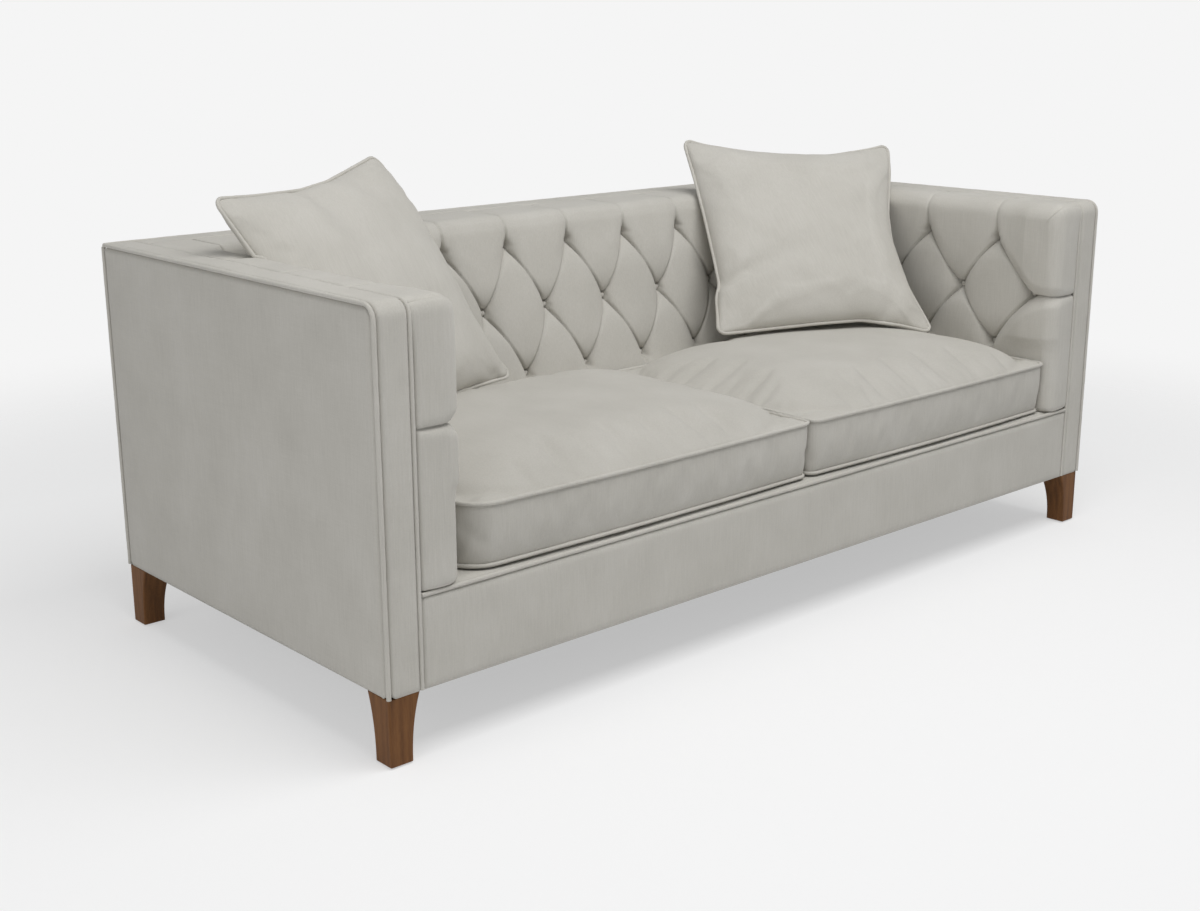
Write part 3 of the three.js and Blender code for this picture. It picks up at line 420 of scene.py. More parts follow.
# A pleat's valley is deepest at its buttons and only a crease midway.
PLEAT_MIDDLE = 7
# Depth of a pleat that runs out from an edge button, against its distance in millimetres.
RUN_OUT = ([0, 12, 25, 45, 85, 120, 400], [45, 26, 12, 6.5, 4.6, 4, 3.2])
# The fold itself is a narrow line, this much deeper than the valley.
FOLD_LINE = 5


def pleat_between(a, b):
    """Grid points and depths of the diagonal pleat between two buttons."""
    steps = max(abs(b[0] - a[0]), abs(b[1] - a[1]))
    for k in range(steps + 1):
        t = k / steps
        depth = PLEAT_MIDDLE + (TUFT_DEPTH - PLEAT_MIDDLE) * abs(2 * t - 1) ** 2.0
        yield a[0] + round((b[0] - a[0]) * t), a[1] + round((b[1] - a[1]) * t), depth


def pleat_out(a, heading, steps, spacing, least=0.0):
    """Grid points and depths of a pleat that runs out from a button to an edge."""
    for k in range(steps + 1):
        depth = float(np.interp(k * spacing, *RUN_OUT))
        yield a[0] + heading[0] * k, a[1] + heading[1] * k, max(least, depth)


def tuft_depths(shape, across, along, pleats, flat=None):
    """Which grid points are sewn down, how deep each lies below the crests, and the stuffing's swell."""
    fixed = np.zeros(shape, bool)
    valley = np.zeros(shape)
    for pleat in pleats:
        for i, j, depth in pleat:
            fixed[i, j] = True
            valley[i, j] = max(valley[i, j], depth)
    held = fixed if flat is None else fixed | flat
    depth = relax(valley, held, 0.0, across, along)
    swell = relax(np.zeros(shape), fixed, 1.0, across, along)
    return fixed, depth, swell


def cover_height(depth, fixed, fill, pinch):
    """How far the cover lies below the crests, with the fold's line at the bottom of each valley."""
    return -(depth * (1 - fill * pinch) + FOLD_LINE * fixed * np.minimum(1, depth / 12))


def settling(depth, fill):
    """How far the stuffing hangs over the pleat below it, from 0 to 1."""
    return np.minimum(1, depth / TUFT_DEPTH * 1.6) * fill * np.minimum(1, depth / 8)


def fullness_of(swell, full):
    """Stuffing stands steeply beside a pleat and evens out in the middle of a tuft."""
    share = np.clip(swell / full, 0, None)
    return np.minimum(1, share ** 0.37 * (1.08 - 0.08 * np.minimum(share, 1)))


def button_folds(u, v, buttons, seed):
    """Short folds that radiate from each button, and how far the stuffing is free of its pinch."""
    rng = np.random.default_rng(seed)
    folds = np.zeros(u.shape)
    pinch = np.ones(u.shape)
    for bu, bv in buttons:
        reach = np.hypot(u - bu, v - bv)
        around = np.arctan2(v - bv, u - bu)
        phase, second = rng.uniform(0, 2 * math.pi, 2)
        wave = np.cos(6 * around + phase) + 0.6 * np.cos(9 * around + second)
        folds += wave * np.exp(-((reach - 13) / 8) ** 2)
        # The tufts above hang over the button, so the dark gap opens on its upper side.
        folds -= (6 + 6 * np.sin(around)) * np.exp(-((reach - 8) / 3.5) ** 2)
        pinch = np.minimum(pinch, 1 - np.exp(-(reach / 7.5) ** 4))
    return folds, pinch


# The pads' grids: the size of one step, and the button pattern counted in steps.
BACK_HALF = 885
BACK_STEP = (3.0, 4.8)
BACK_TOP_ROW = 91
BACK_RISE = 30
BACK_PITCH = 60
# Height of the back's top row of buttons, radius of its top edge, and grid steps over its top.
BACK_BUTTON_TOP = 741
BACK_EDGE = 42
BACK_TOP_STEPS = 20


def back_button_spots():
    """Column and row of each button in the back's grid."""
    middle = round(BACK_HALF / BACK_STEP[0])
    rows = []
    for row, half in ((0, 0), (1, 1), (2, 0)):
        count = 5 if half else 4
        columns = [middle + BACK_PITCH * k for k in range(-count, count + (0 if half else 1))]
        rows.append([(c + half * BACK_PITCH // 2, BACK_TOP_ROW - BACK_RISE * row) for c in columns])
    return rows


def back_section():
    """The back's upright section from the deck to the seam on top: places, directions and run."""
    floor = BACK_BUTTON_TOP - BACK_STEP[1] * BACK_TOP_ROW
    z = floor + BACK_STEP[1] * np.arange(BACK_TOP_ROW + 8)
    face = np.stack([crest_y(z), z], 1)
    lean = math.atan2(503, 136)
    centre = face[-1] + BACK_EDGE * np.array([math.sin(lean), -math.cos(lean)])
    upright = math.pi / 2
    turns = np.linspace(lean + upright, upright, 12)[1:]
    edge = centre + BACK_EDGE * np.stack([np.cos(turns), np.sin(turns)], 1)
    to_seam = np.linspace(edge[-1, 0], BACK_SEAM - CLEARANCE, BACK_TOP_STEPS + 1)[1:]
    top = np.stack([to_seam, np.full(BACK_TOP_STEPS, edge[-1, 1])], 1)
    places = np.concatenate([face, edge, top])
    angles = np.concatenate([
        np.full(len(face), math.pi),
        np.linspace(math.pi, upright, 12)[1:],
        np.full(BACK_TOP_STEPS, upright),
    ])
    outward = np.stack([np.cos(angles), np.sin(angles)], 1)
    run = np.concatenate([[0], np.cumsum(np.linalg.norm(np.diff(places, axis=0), axis=1))])
    return places, outward, run


def tufted_back():
    """The back's deep-buttoned pad, wrapped over its top edge to the band."""
    places, outward, run = back_section()
    columns = round(2 * BACK_HALF / BACK_STEP[0])
    rows = len(places) - 1
    bm, at = grid_of(columns, rows)
    i = np.rint((at[:, 0] + 1) / 2 * columns).astype(int)
    j = np.rint((at[:, 1] + 1) / 2 * rows).astype(int)
    buttons = back_button_spots()
    pleats = []
    for upper, lower in zip(buttons, buttons[1:]):
        for a in upper:
            pleats += [pleat_between(a, b) for b in lower if abs(a[0] - b[0]) == BACK_PITCH // 2]
    pleats += [pleat_out(a, (0, 1), rows - BACK_TOP_ROW, 5.0, 4.2) for a in buttons[0]]
    pleats += [pleat_out(a, (0, -1), a[1], 5.0, 9.0) for a in buttons[2]]
    for a, heading in ((buttons[1][0], -1), (buttons[1][-1], 1)):
        pleats.append(pleat_out(a, (heading, 0), a[0] if heading < 0 else columns - a[0], 3.0, 12.0))
    fixed, depth, swell = tuft_depths((columns + 1, rows + 1), BACK_STEP[0], 4.97, pleats)
    middle = columns // 2
    full = swell[middle, BACK_TOP_ROW - BACK_RISE]
    x = -BACK_HALF + BACK_STEP[0] * i
    flat_buttons = [(-BACK_HALF + BACK_STEP[0] * a[0], run[a[1]]) for row in buttons for a in row]
    folds, pinch = button_folds(x, run[j], flat_buttons, 3)
    fill = fullness_of(swell, full)
    height = cover_height(depth[i, j], fixed[i, j], fill[i, j], pinch) + folds
    spot = np.stack([x, places[j, 0], places[j, 1]], 1)
    height += 1.3 * ripple(spot, 170, 5) * fill[i, j]
    height -= 4 * rolled(run[-1] - run[j], 7) / 7
    # The stuffing settles, so each tuft hangs a little over the pleat below it.
    settle = 9 * settling(depth[i, j], fill[i, j]) * (places[j, 1] < 790)
    spot[:, 1] += outward[j, 0] * height
    spot[:, 2] += outward[j, 1] * height - settle * np.abs(outward[j, 0])
    put(bm, spot)
    bmesh.ops.connect_verts(bm, verts=[v for v, f in zip(bm.verts, fixed[i, j]) if f])

    # The hidden rear of the pad lies on the hessian, between the top rail's front and its underside.
    def behind(points):
        back = np.minimum(crest_y(points[:, 2]) + 2 * TUFT_DEPTH, 366)
        return np.stack([points[:, 0], back, np.minimum(points[:, 2], 797)], 1)

    close_behind(bm, behind)
    return bm


ARM_STEP = (3.45, 13 / 3)
ARM_REAR_COLUMNS = 86
ARM_FRONT_COLUMN = 249
ARM_TOP_ROW = 95
ARM_EDGE_ROW = 106
ARM_EDGE_ARC = 14
ARM_EDGE = 33
ARM_PITCH = 60
ARM_RISE = 30
# Place of the first button of an arm's top row.
ARM_BUTTON_Y = 114
ARM_BUTTON_Z = 716


def arm_button_spots():
    """Column and row of each button in an arm's grid, counted from the rear of the arm."""
    rear = ARM_REAR_COLUMNS
    upper = [(rear + ARM_PITCH * k, ARM_TOP_ROW) for k in range(3)]
    middle = [(rear + ARM_PITCH * k + ARM_PITCH // 2, ARM_TOP_ROW - ARM_RISE) for k in range(3)]
    lower = [(c, ARM_TOP_ROW - 2 * ARM_RISE) for c, _ in upper]
    return [upper, middle, lower]


def arm_silhouette(front, run):
    """The arm's outline seen from its side: up the front, round the corner and back along the top."""
    front_y = -HALF_DEPTH + CLEARANCE
    centre = np.array([front_y + BAND_CORNER, PAD_TOP - BAND_CORNER])
    if front:
        turn = np.clip((run - centre[1]) / BAND_CORNER, 0, None)
        straight = np.stack([np.full(run.shape, front_y), run], 1)
        round_part = centre + BAND_CORNER * np.stack([-np.cos(turn), np.sin(turn)], 1)
    else:
        turn = np.clip((centre[0] - run) / BAND_CORNER, 0, None)
        straight = np.stack([run, np.full(run.shape, float(PAD_TOP))], 1)
        round_part = centre + BAND_CORNER * np.stack([-np.sin(turn), np.cos(turn)], 1)
    return np.where((turn > 0)[:, None], round_part, straight)


def tufted_arm(side):
    """An arm's deep-buttoned pad, wrapped round its front and over its top; side is 1 or -1."""
    columns = ARM_FRONT_COLUMN + ARM_EDGE
    rows = ARM_EDGE_ROW + ARM_EDGE
    bm, at = grid_of(columns, rows)
    i = np.rint((at[:, 0] + 1) / 2 * columns).astype(int)
    j = np.rint((at[:, 1] + 1) / 2 * rows).astype(int)
    buttons = arm_button_spots()
    pleats = []
    for upper, lower in zip(buttons, buttons[1:]):
        for a in upper:
            pleats += [pleat_between(a, b) for b in lower if abs(a[0] - b[0]) == ARM_PITCH // 2]
    pleats += [pleat_out(a, (0, 1), rows - ARM_TOP_ROW, 4.4, 4.2) for a in buttons[0]]
    pleats += [pleat_out(a, (0, -1), a[1], 4.4, 10.0) for a in buttons[2]]
    pleats.append(pleat_out(buttons[1][-1], (1, 0), columns - buttons[1][-1][0], 3.45, 5.0))
    cols, rws = np.indices((columns + 1, rows + 1))
    corner = (cols >= ARM_FRONT_COLUMN) & (rws >= ARM_EDGE_ROW)
    fixed, depth, swell = tuft_depths((columns + 1, rows + 1), ARM_STEP[0], ARM_STEP[1], pleats, corner)
    full = swell[ARM_REAR_COLUMNS + ARM_PITCH, ARM_TOP_ROW - ARM_RISE]
    fill = fullness_of(swell, full)
    run_u = ARM_STEP[0] * i.astype(float)
    run_v = ARM_STEP[1] * j.astype(float)
    spots_uv = [(ARM_STEP[0] * a[0], ARM_STEP[1] * a[1]) for row in buttons for a in row]
    folds, pinch = button_folds(run_u, run_v, spots_uv, 7 if side > 0 else 8)
    height = cover_height(depth[i, j], fixed[i, j], fill[i, j], pinch) + folds

    over_front = np.clip(i - ARM_FRONT_COLUMN, 0, None)
    over_top = np.clip(j - ARM_EDGE_ROW, 0, None)
    y = ARM_BUTTON_Y + ARM_STEP[0] * (ARM_REAR_COLUMNS - np.minimum(i, ARM_FRONT_COLUMN))
    z = ARM_BUTTON_Z - ARM_STEP[1] * (ARM_TOP_ROW - np.minimum(j, ARM_EDGE_ROW))
    front_face = over_front > 0
    face_y, face_z = y.astype(float), z.astype(float)
    # Towards the top front corner the front's and the top's edges draw together on to one round.
    near_top = np.clip((face_z - 690) / 73.67, 0, 1)
    near_front = np.clip((-375 - face_y) / 73.35, 0, 1)
    front_end = arm_silhouette(True, face_z + 35.32 * near_top ** 2)
    top_end = arm_silhouette(False, face_y - 25.34 * near_front ** 2)
    end = np.where(front_face[:, None], front_end, top_end)
    # Behind the back's face the arm's top runs level to the back pad, with a plain seam between.
    behind_back = np.clip((face_y - 255) / 40, 0, 1)
    behind_back = behind_back ** 2 * (3 - 2 * behind_back)
    edge_radius = 41.33 - 5 * near_front ** 2 - 37 * behind_back
    radius = np.where(front_face, 31.35 + 5 * near_top ** 2, edge_radius)
    steps = np.maximum(over_front, over_top)
    turn = np.clip(steps / ARM_EDGE_ARC, 0, 1) * math.pi / 2
    flat = np.clip((steps - ARM_EDGE_ARC) / (ARM_EDGE - ARM_EDGE_ARC), 0, 1)
    seam = np.where(front_face, 971.3 + 9 * near_top ** 3, BAND_INNER - CLEARANCE)
    raised = np.where(front_face, 0, 37 * behind_back) * (j >= ARM_EDGE_ROW)
    start = np.stack([face_y, face_z + raised], 1)
    away = end - start
    reach = np.linalg.norm(away, axis=1)
    away /= np.maximum(reach, 1e-6)[:, None]
    outer = start + away * (reach * np.sin(turn))[:, None]
    x = ARM_FACE + radius * (1 - np.cos(turn)) + flat * (seam - ARM_FACE - radius)
    out_x = -np.cos(turn)
    out_yz = away * np.sin(turn)[:, None]
    x = np.where(steps > 0, x, ARM_FACE)
    outer = np.where((steps > 0)[:, None], outer, start)

    spot = np.stack([side * x, outer[:, 0], outer[:, 1]], 1)
    # The front tufts stand full, above the seat cushion and round the front of the arm.
    to_front = np.clip((-300 - face_y) / 90, 0, 1)
    over_seat = np.clip((face_z - 445) / 40, 0, 1)
    roundness = np.minimum(swell[i, j] / full, 1.4) - 0.45
    height += 10 * (to_front * over_seat) ** 2 * roundness * (steps < ARM_EDGE_ARC) * np.cos(turn)
    height += 5 * np.sin(math.pi * np.clip(steps / ARM_EDGE, 0, 1)) * fill[i, j] * front_face
    height += 1.2 * ripple(spot, 160, 11 + side) * fill[i, j] * (steps < 1)
    to_seam = (ARM_EDGE - steps) * np.where(front_face, 2.9, 2.8)
    height -= np.where(steps > 0, rolled(to_seam, 9) * np.where(front_face, 0.9, 0.5), 0)
    height -= 7 * rolled(z - z.min(), 16) / 16 * front_face
    settle = 8 * settling(depth[i, j], fill[i, j]) * (steps == 0)
    spot[:, 0] += side * out_x * height
    spot[:, 1] += out_yz[:, 0] * height
    spot[:, 2] += out_yz[:, 1] * height - settle
    put(bm, spot)
    inside = (i > ARM_FRONT_COLUMN) & (j > ARM_EDGE_ROW)
    folded = [v for v, f, c in zip(bm.verts, fixed[i, j], inside) if f and not c]
    bmesh.ops.connect_verts(bm, verts=folded)
    bm.verts.ensure_lookup_table()
    bmesh.ops.delete(bm, geom=[bm.verts[k] for k in np.nonzero(inside)[0]], context="VERTS")
    bmesh.ops.remove_doubles(bm, verts=bm.verts[:], dist=0.2 * MM)

    def behind(points):
        drawn = points.copy()
        drawn[:, 0] = side * (BAND_INNER - 0.4)
        drawn[:, 1] = np.maximum(drawn[:, 1], -462)
        drawn[:, 2] = np.minimum(drawn[:, 2], 794)
        return drawn

    close_behind(bm, behind)
    return bm


back_pad = piece("tufted_back_pad", tufted_back(), cover_linen, replaced=["back_pad"])
for side, word in SIDES:
    name = f"arm_pad_{word}"
    pad = piece(f"tufted_{name}", tufted_arm(side), cover_linen, replaced=[name])


# Buttons and what holds them

# A button stands this far out of the bottom of its tuft, and its radius.
BUTTON_LIFT = 15
BUTTON_RADIUS = 6.3


def button_into(bm, place, facing):
    """A covered button: a low dome over a rounded rim, drawn from an icosphere."""
    made = bmesh.ops.create_icosphere(bm, subdivisions=2, radius=1)["verts"]
    for vert in made:
        flat = math.hypot(vert.co.x, vert.co.y)
        vert.co.z = vert.co.z * 0.42 - 0.05 * flat
    tilt = Vector((0, 0, 1)).rotation_difference(Vector(facing)).to_matrix().to_4x4()
    size = Matrix.Scale(BUTTON_RADIUS * MM, 4)
    bmesh.ops.transform(bm, matrix=Matrix.Translation(Vector(place) * MM) @ tilt @ size, verts=made)


def back_ties():
    """Where each button of the back sits."""
    for row in back_button_spots():
        for column, up in row:
            z = BACK_BUTTON_TOP - BACK_STEP[1] * (BACK_TOP_ROW - up)
            yield (-BACK_HALF + BACK_STEP[0] * column, crest_y(z) + TUFT_DEPTH, z)


def arm_ties(side):
    """Where each button of an arm sits."""
    for row in arm_button_spots():
        for column, up in row:
            y = ARM_BUTTON_Y + ARM_STEP[0] * (ARM_REAR_COLUMNS - column)
            z = ARM_BUTTON_Z - ARM_STEP[1] * (ARM_TOP_ROW - up)
            yield (side * (ARM_FACE + TUFT_DEPTH), y, z)


def buttons_and_twines(word, ties, facing, backing_at, node):
    """The covered buttons, each with a twine that is sewn through the pad to the hessian."""
    buttons, twines = bmesh.new(), bmesh.new()
    for place in ties:
        button_into(buttons, Vector(place) + Vector(facing) * BUTTON_LIFT, facing)
        for offset in (-0.9, 0.9):
            strand = Vector((0, 0, offset))
            run = [Vector(place) + strand, Vector(backing_at(place)) + strand]
            cord_into(twines, stepped(run, 12), 0.7)
    piece(f"covered_buttons_{word}", buttons, cover_linen, replaced=[node])
    piece(f"button_twines_{word}", twines, hessian)


def hessian_sheet(name, corner_at, width, height, posts):
    """A stretched sheet of hessian; corner_at gives its place from two shares."""
    bm, at = grid_of(60, 24)
    u, v = (at[:, 0] + 1) / 2, (at[:, 1] + 1) / 2
    put(bm, corner_at(u, v))
    sheet = piece(name, bm, hessian)
    thicken(sheet, 1.1)
    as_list(posts)


def behind_back(place):
    """Where a twine of the back meets the hessian."""
    return place[0], crest_y(place[2]) + 2 * TUFT_DEPTH + 1, place[2]


buttons_and_twines("back", back_ties(), (0, -1, 0), behind_back, "back_button_ties")
# The hessian is cut this wide and high. The back's lies on its lean, from the deck to the top rail.
BACK_HESSIAN = (1768, (796.2 - 303.3) * math.hypot(1, 136 / 503))
ARM_HESSIAN = (761, 491.5)


def back_hessian(u, v):
    z = 303.6 + (796 - 303.6) * v
    return np.stack([(u - 0.5) * BACK_HESSIAN[0], crest_y(z) + 2 * TUFT_DEPTH + 1.1, z], 1)


uprights = ["back_upright_right", "back_upright_left"]
hessian_sheet("hessian_back", back_hessian, *BACK_HESSIAN, uprights)
for side, word in SIDES:
    def behind_arm(place):
        return side * (BAND_INNER + 0.6), place[1], place[2]

    def arm_hessian(u, v):
        x = np.full(u.shape, side * (BAND_INNER + 0.9))
        return np.stack([x, -451 + ARM_HESSIAN[0] * u, 304 + ARM_HESSIAN[1] * v], 1)

    node = f"arm_button_ties_{word}"
    buttons_and_twines(f"arm_{word}", arm_ties(side), (-side, 0, 0), behind_arm, node)
    posts = [f"arm_front_post_{word}", f"arm_back_post_{word}"]
    hessian_sheet(f"hessian_arm_{word}", arm_hessian, *ARM_HESSIAN, posts)


# Padded covers

def panel(
    name, width, height, thickness, place, nodes, corners=(0, 0, 0, 0),
    spacing=9, roll=4.5, crown=2.5, pull=0.5, seed=1,
):
    """A lightly padded cover: place(u, v, h) puts its width, height and thickness.

    Its corner radii go round from low u, low v."""
    columns, rows = max(2, round(width / spacing)), max(2, round(height / spacing))
    bm, at = grid_of(columns, rows)
    u, v = at[:, 0] * width / 2, at[:, 1] * height / 2
    low = np.where(u < 0, corners[0], corners[1])
    radius = np.where(v < 0, low, np.where(u < 0, corners[3], corners[2])).astype(float)
    u, v = rounded(u, v, width / 2, height / 2, radius)
    edge = np.minimum(width / 2 - np.abs(u), height / 2 - np.abs(v))
    near = np.stack([u, v, np.zeros(u.shape)], 1)
    bulge = crown * (1 - np.abs(at[:, 0]) ** 6) * (1 - np.abs(at[:, 1]) ** 6)
    marks = pull * ripple(near, 26, seed) * np.exp(-edge / 14) + 0.5 * ripple(near, 240, seed + 1)
    h = thickness - crown - rolled(edge, roll) + bulge + marks * np.minimum(1, edge / 3)
    put(bm, place(u, v, h))
    # The cover's border is turned straight back to the frame, where the panel ends flat.
    rim = [e for e in bm.edges if e.is_boundary]
    made = bmesh.ops.extrude_edge_only(bm, edges=rim)["geom"]
    moved = {g for g in made if isinstance(g, bmesh.types.BMVert)}
    floor = place(u, v, np.zeros(u.shape)) * MM
    twins = {}
    for vert in moved:
        for e in vert.link_edges:
            other = e.other_vert(vert)
            if other not in moved:
                twins[vert] = other.index
    for vert, index in twins.items():
        vert.co = floor[index]
    bmesh.ops.edgeloop_fill(bm, edges=[e for e in bm.edges if e.is_boundary])
    bmesh.ops.recalc_face_normals(bm, faces=bm.faces[:])
    piece(name, bm, cover_linen, replaced=nodes)


# How far an arm's band runs up its front, round its corner and in all.
BAND_UP = SHELL_HEIGHT - BAND_CORNER - LEG_HEIGHT
BAND_BEND = BAND_CORNER * math.pi / 2
BAND_RUN = BAND_UP + BAND_BEND + FRAME_DEPTH + HALF_DEPTH - BAND_CORNER
BAND_LOOK = {"spacing": 6, "crown": 1.6, "roll": 2.4, "pull": 0.6}
PANEL_HEIGHT = SHELL_HEIGHT - WELT * 2 - 1 - LEG_HEIGHT
PANEL_MIDDLE = LEG_HEIGHT + PANEL_HEIGHT / 2
RAIL_COVER_TOP = 293.7
DECK_DEPTH = 696
DECK_PAD = 14
DECK_HALF_WIDTH = 982.6


def band_path(run, out):
    """A point on the arm's band, up its front and back along its top, at a height over the frame."""
    radius = BAND_CORNER - COVER
    centre = (-HALF_DEPTH + BAND_CORNER, SHELL_HEIGHT - BAND_CORNER)
    turn = np.clip((run - BAND_UP) / BAND_BEND, 0, 1) * math.pi / 2
    y = centre[0] - (radius + out) * np.cos(turn) + np.clip(run - BAND_UP - BAND_BEND, 0, None)
    z = np.where(run < BAND_UP, LEG_HEIGHT + run, centre[1] + (radius + out) * np.sin(turn))
    return y, z


for side, word in SIDES:
    def on_outer_arm(u, v, h):
        return np.stack([side * (HALF_WIDTH - COVER + h), u, PANEL_MIDDLE + v], 1)

    def on_band(u, v, h):
        y, z = band_path(v + BAND_RUN / 2, h)
        return np.stack([side * ((BAND_INNER + FRAME_OUTER) / 2 + u), y, z], 1)

    panel(
        f"outer_arm_panel_{word}", 2 * PANEL_HALF_DEPTH, PANEL_HEIGHT, COVER, on_outer_arm,
        [f"outer_arm_{word}"], (12, 10, 8, 22), crown=1.8, roll=3, pull=0.9, seed=21 + side,
    )
    panel(
        f"facing_and_top_band_{word}", FRAME_OUTER - BAND_INNER, BAND_RUN, COVER, on_band,
        [f"arm_band_{word}"], (0, 12, 0, 0), seed=31 + side, **BAND_LOOK,
    )


def on_back_top(u, v, h):
    return np.stack([u, (BACK_SEAM + FRAME_DEPTH) / 2 + v, SHELL_HEIGHT - COVER + h], 1)


def on_outer_back(u, v, h):
    return np.stack([u, HALF_DEPTH - COVER + h, PANEL_MIDDLE + v], 1)


def on_front_rail(u, v, h):
    return np.stack([u, -HALF_DEPTH + COVER - h, (LEG_HEIGHT + RAIL_COVER_TOP) / 2 + v], 1)


def on_deck(u, v, h):
    return np.stack([u, -FRAME_DEPTH + DECK_DEPTH / 2 + v, DECK_HEIGHT - DECK_PAD + h], 1)


panel(
    "back_top_band", 2 * (BAND_INNER - CLEARANCE), FRAME_DEPTH - BACK_SEAM, COVER, on_back_top,
    ["back_band"], seed=41, **BAND_LOOK,
)
panel(
    "outer_back_panel", 2 * FRAME_OUTER, PANEL_HEIGHT, COVER, on_outer_back,
    ["outer_back"], (10, 10, 8, 8), spacing=11, crown=1.8, seed=43,
)
panel(
    "front_rail_panel", 2 * RAIL_HALF, RAIL_COVER_TOP - LEG_HEIGHT, COVER, on_front_rail,
    ["front_rail_cover"], spacing=8, crown=1.6, roll=2.4, seed=45,
)
panel(
    "seat_deck_cover", 2 * DECK_HALF_WIDTH, DECK_DEPTH, DECK_PAD, on_deck,
    ["seat_deck"], spacing=10, crown=0.6, roll=5, seed=47,
)


# Welts: piping cord wrapped in the cover's linen; all but the front rail's are drawn in a paler copy of
# it, a painted highlight

# A welt on the frame has a point of its path about every 9 mm.
WELT_STEP = 9
# Radius of the piping in the cushions' seams.
CUSHION_WELT = 4.0


# A welt's default linen is the paler copy, a painted highlight on the round cord.
def welt(name, paths, nodes, seed, radius=WELT, material=piping_highlight_linen, body="sofa"):
    """Round piping along one or more paths, which are closed rings on a cushion."""
    bm = bmesh.new()
    for k, path in enumerate(paths):
        cord_into(bm, path, radius, body != "sofa", seed + k)
    piece(name, bm, material, body, nodes)


def cushion_welt(kind, word, paths, seed):
    """The piping of a seat or scatter cushion."""
    welt(
        f"{kind}_cushion_piping_{word}", paths, [], seed, CUSHION_WELT,
        body=f"{kind}_cushion_{word}",
    )


corner = (-HALF_DEPTH + BAND_CORNER, SHELL_HEIGHT - BAND_CORNER)
for side, word in SIDES:
    x = side * (HALF_WIDTH - WELT - CLEARANCE)
    bend = arc(corner, BAND_CORNER - WELT, 180, 90)
    outer = [(x, -HALF_DEPTH + WELT, LEG_HEIGHT + 1), *[(x, y, z) for y, z in bend]]
    outer.append((x, HALF_DEPTH - 2 * WELT - 1.2, SHELL_HEIGHT - WELT))
    path = stepped(outer, WELT_STEP)
    welt(f"outer_arm_piping_{word}", [path], [f"outer_arm_welt_{word}"], 61 + side)
    x = side * (BAND_INNER - 0.6 - WELT)
    bend = arc(corner, BAND_CORNER - WELT - 0.4, 180, 96)
    inner = [(x, -HALF_DEPTH + WELT + 0.4, LEG_HEIGHT + 1), *[(x, y, z) for y, z in bend]]
    inner += [(x, -438, 796), (x, -424, 788)]
    path = stepped(inner, WELT_STEP)
    welt(f"facing_piping_{word}", [path], [f"facing_welt_{word}"], 65 + side)

z = DECK_HEIGHT - WELT
path = stepped([(-971, -475.6, z), (971, -475.6, z)], WELT_STEP)
welt("front_rail_piping", [path], ["front_rail_welt"], 70, material=cover_linen)
x, y, z = [reach - WELT - CLEARANCE for reach in (HALF_WIDTH, HALF_DEPTH, SHELL_HEIGHT)]
right = [(a, y, b) for a, b in arc((x - 5, z - 5), 5, 0, 90, 4)]
left = [(a, y, b) for a, b in arc((5 - x, z - 5), 5, 90, 180, 4)]
path = stepped([(x, y, LEG_HEIGHT + 1), *right, *left, (-x, y, LEG_HEIGHT + 1)], WELT_STEP)
welt("outer_back_piping", [path], ["outer_back_welt"], 72)


# Seat cushions

def swell_under_pressure(obj, held, gathered, pressure, slack, most, frames=20):
    """Blows a cushion's cloth up a little over its filling, and keeps how it lies.

    Slack is the cloth's spare share away from its seams, which gathers into folds beside them, and
    most is how far the cloth may move, in millimetres."""
    start = read(obj.data)
    pins = obj.vertex_groups.new(name="held")
    seams = obj.vertex_groups.new(name="gathered")
    for k, (pin, seam) in enumerate(zip(held.tolist(), gathered.tolist())):
        pins.add([k], pin, "REPLACE")
        seams.add([k], seam, "REPLACE")
    cloth = obj.modifiers.new("cloth", "CLOTH")
    settings = cloth.settings
    settings.quality = 6
    settings.mass = 0.3
    settings.tension_stiffness = 20
    settings.compression_stiffness = 20
    settings.shear_stiffness = 8
    settings.bending_stiffness = 3
    settings.use_pressure = True
    settings.uniform_pressure_force = pressure
    settings.effector_weights.gravity = 0
    settings.vertex_group_mass = "held"
    settings.pin_stiffness = 1
    settings.vertex_group_shrink = "gathered"
    settings.shrink_min = -slack
    settings.shrink_max = 0
    cloth.collision_settings.use_collision = False
    cloth.point_cache.frame_start = 1
    cloth.point_cache.frame_end = frames
    scene = bpy.context.scene
    for number in range(1, frames + 1):
        scene.frame_set(number)
    shown = obj.evaluated_get(bpy.context.evaluated_depsgraph_get())
    move = read(shown.to_mesh()) - start
    shown.to_mesh_clear()
    obj.modifiers.remove(cloth)
    scene.frame_set(1)
    length = np.maximum(np.linalg.norm(move, axis=1), 1e-9)
    move *= (np.minimum(length, most * MM) / length)[:, None]
    obj.vertex_groups.clear()
    write(obj.data, start + move)


def box_lattice(columns, rows, levels):
    """A closed box of quads with its faces top and bottom, and each vertex's place in it."""
    bm = bmesh.new()
    bmesh.ops.create_grid(bm, x_segments=columns, y_segments=rows, size=1)
    made = bmesh.ops.extrude_face_region(bm, geom=bm.faces[:], use_keep_orig=True)["geom"]
    for g in made:
        if isinstance(g, bmesh.types.BMVert):
            g.co.z = 1
    if levels > 1:
        upright = [e for e in bm.edges if abs(e.verts[0].co.z - e.verts[1].co.z) > 0.5]
        bmesh.ops.subdivide_edges(bm, edges=upright, cuts=levels - 1, use_grid_fill=True)
    bmesh.ops.recalc_face_normals(bm, faces=bm.faces[:])
    bm.verts.ensure_lookup_table()
    return bm, np.array([v.co for v in bm.verts])


def border_of(p, q):
    """Which points of a box lattice lie on its rim."""
    return (np.abs(p) > 0.9999) | (np.abs(q) > 0.9999)


def round_share(p, q, power):
    """How far a point is from the middle of a rounded square, from 0 to 1."""
    return (np.abs(p) ** power + np.abs(q) ** power) ** (1 / power)


def around_order(p, q):
    """Sorts the points of a square's border into one round."""
    return np.argsort(np.arctan2(q, p))


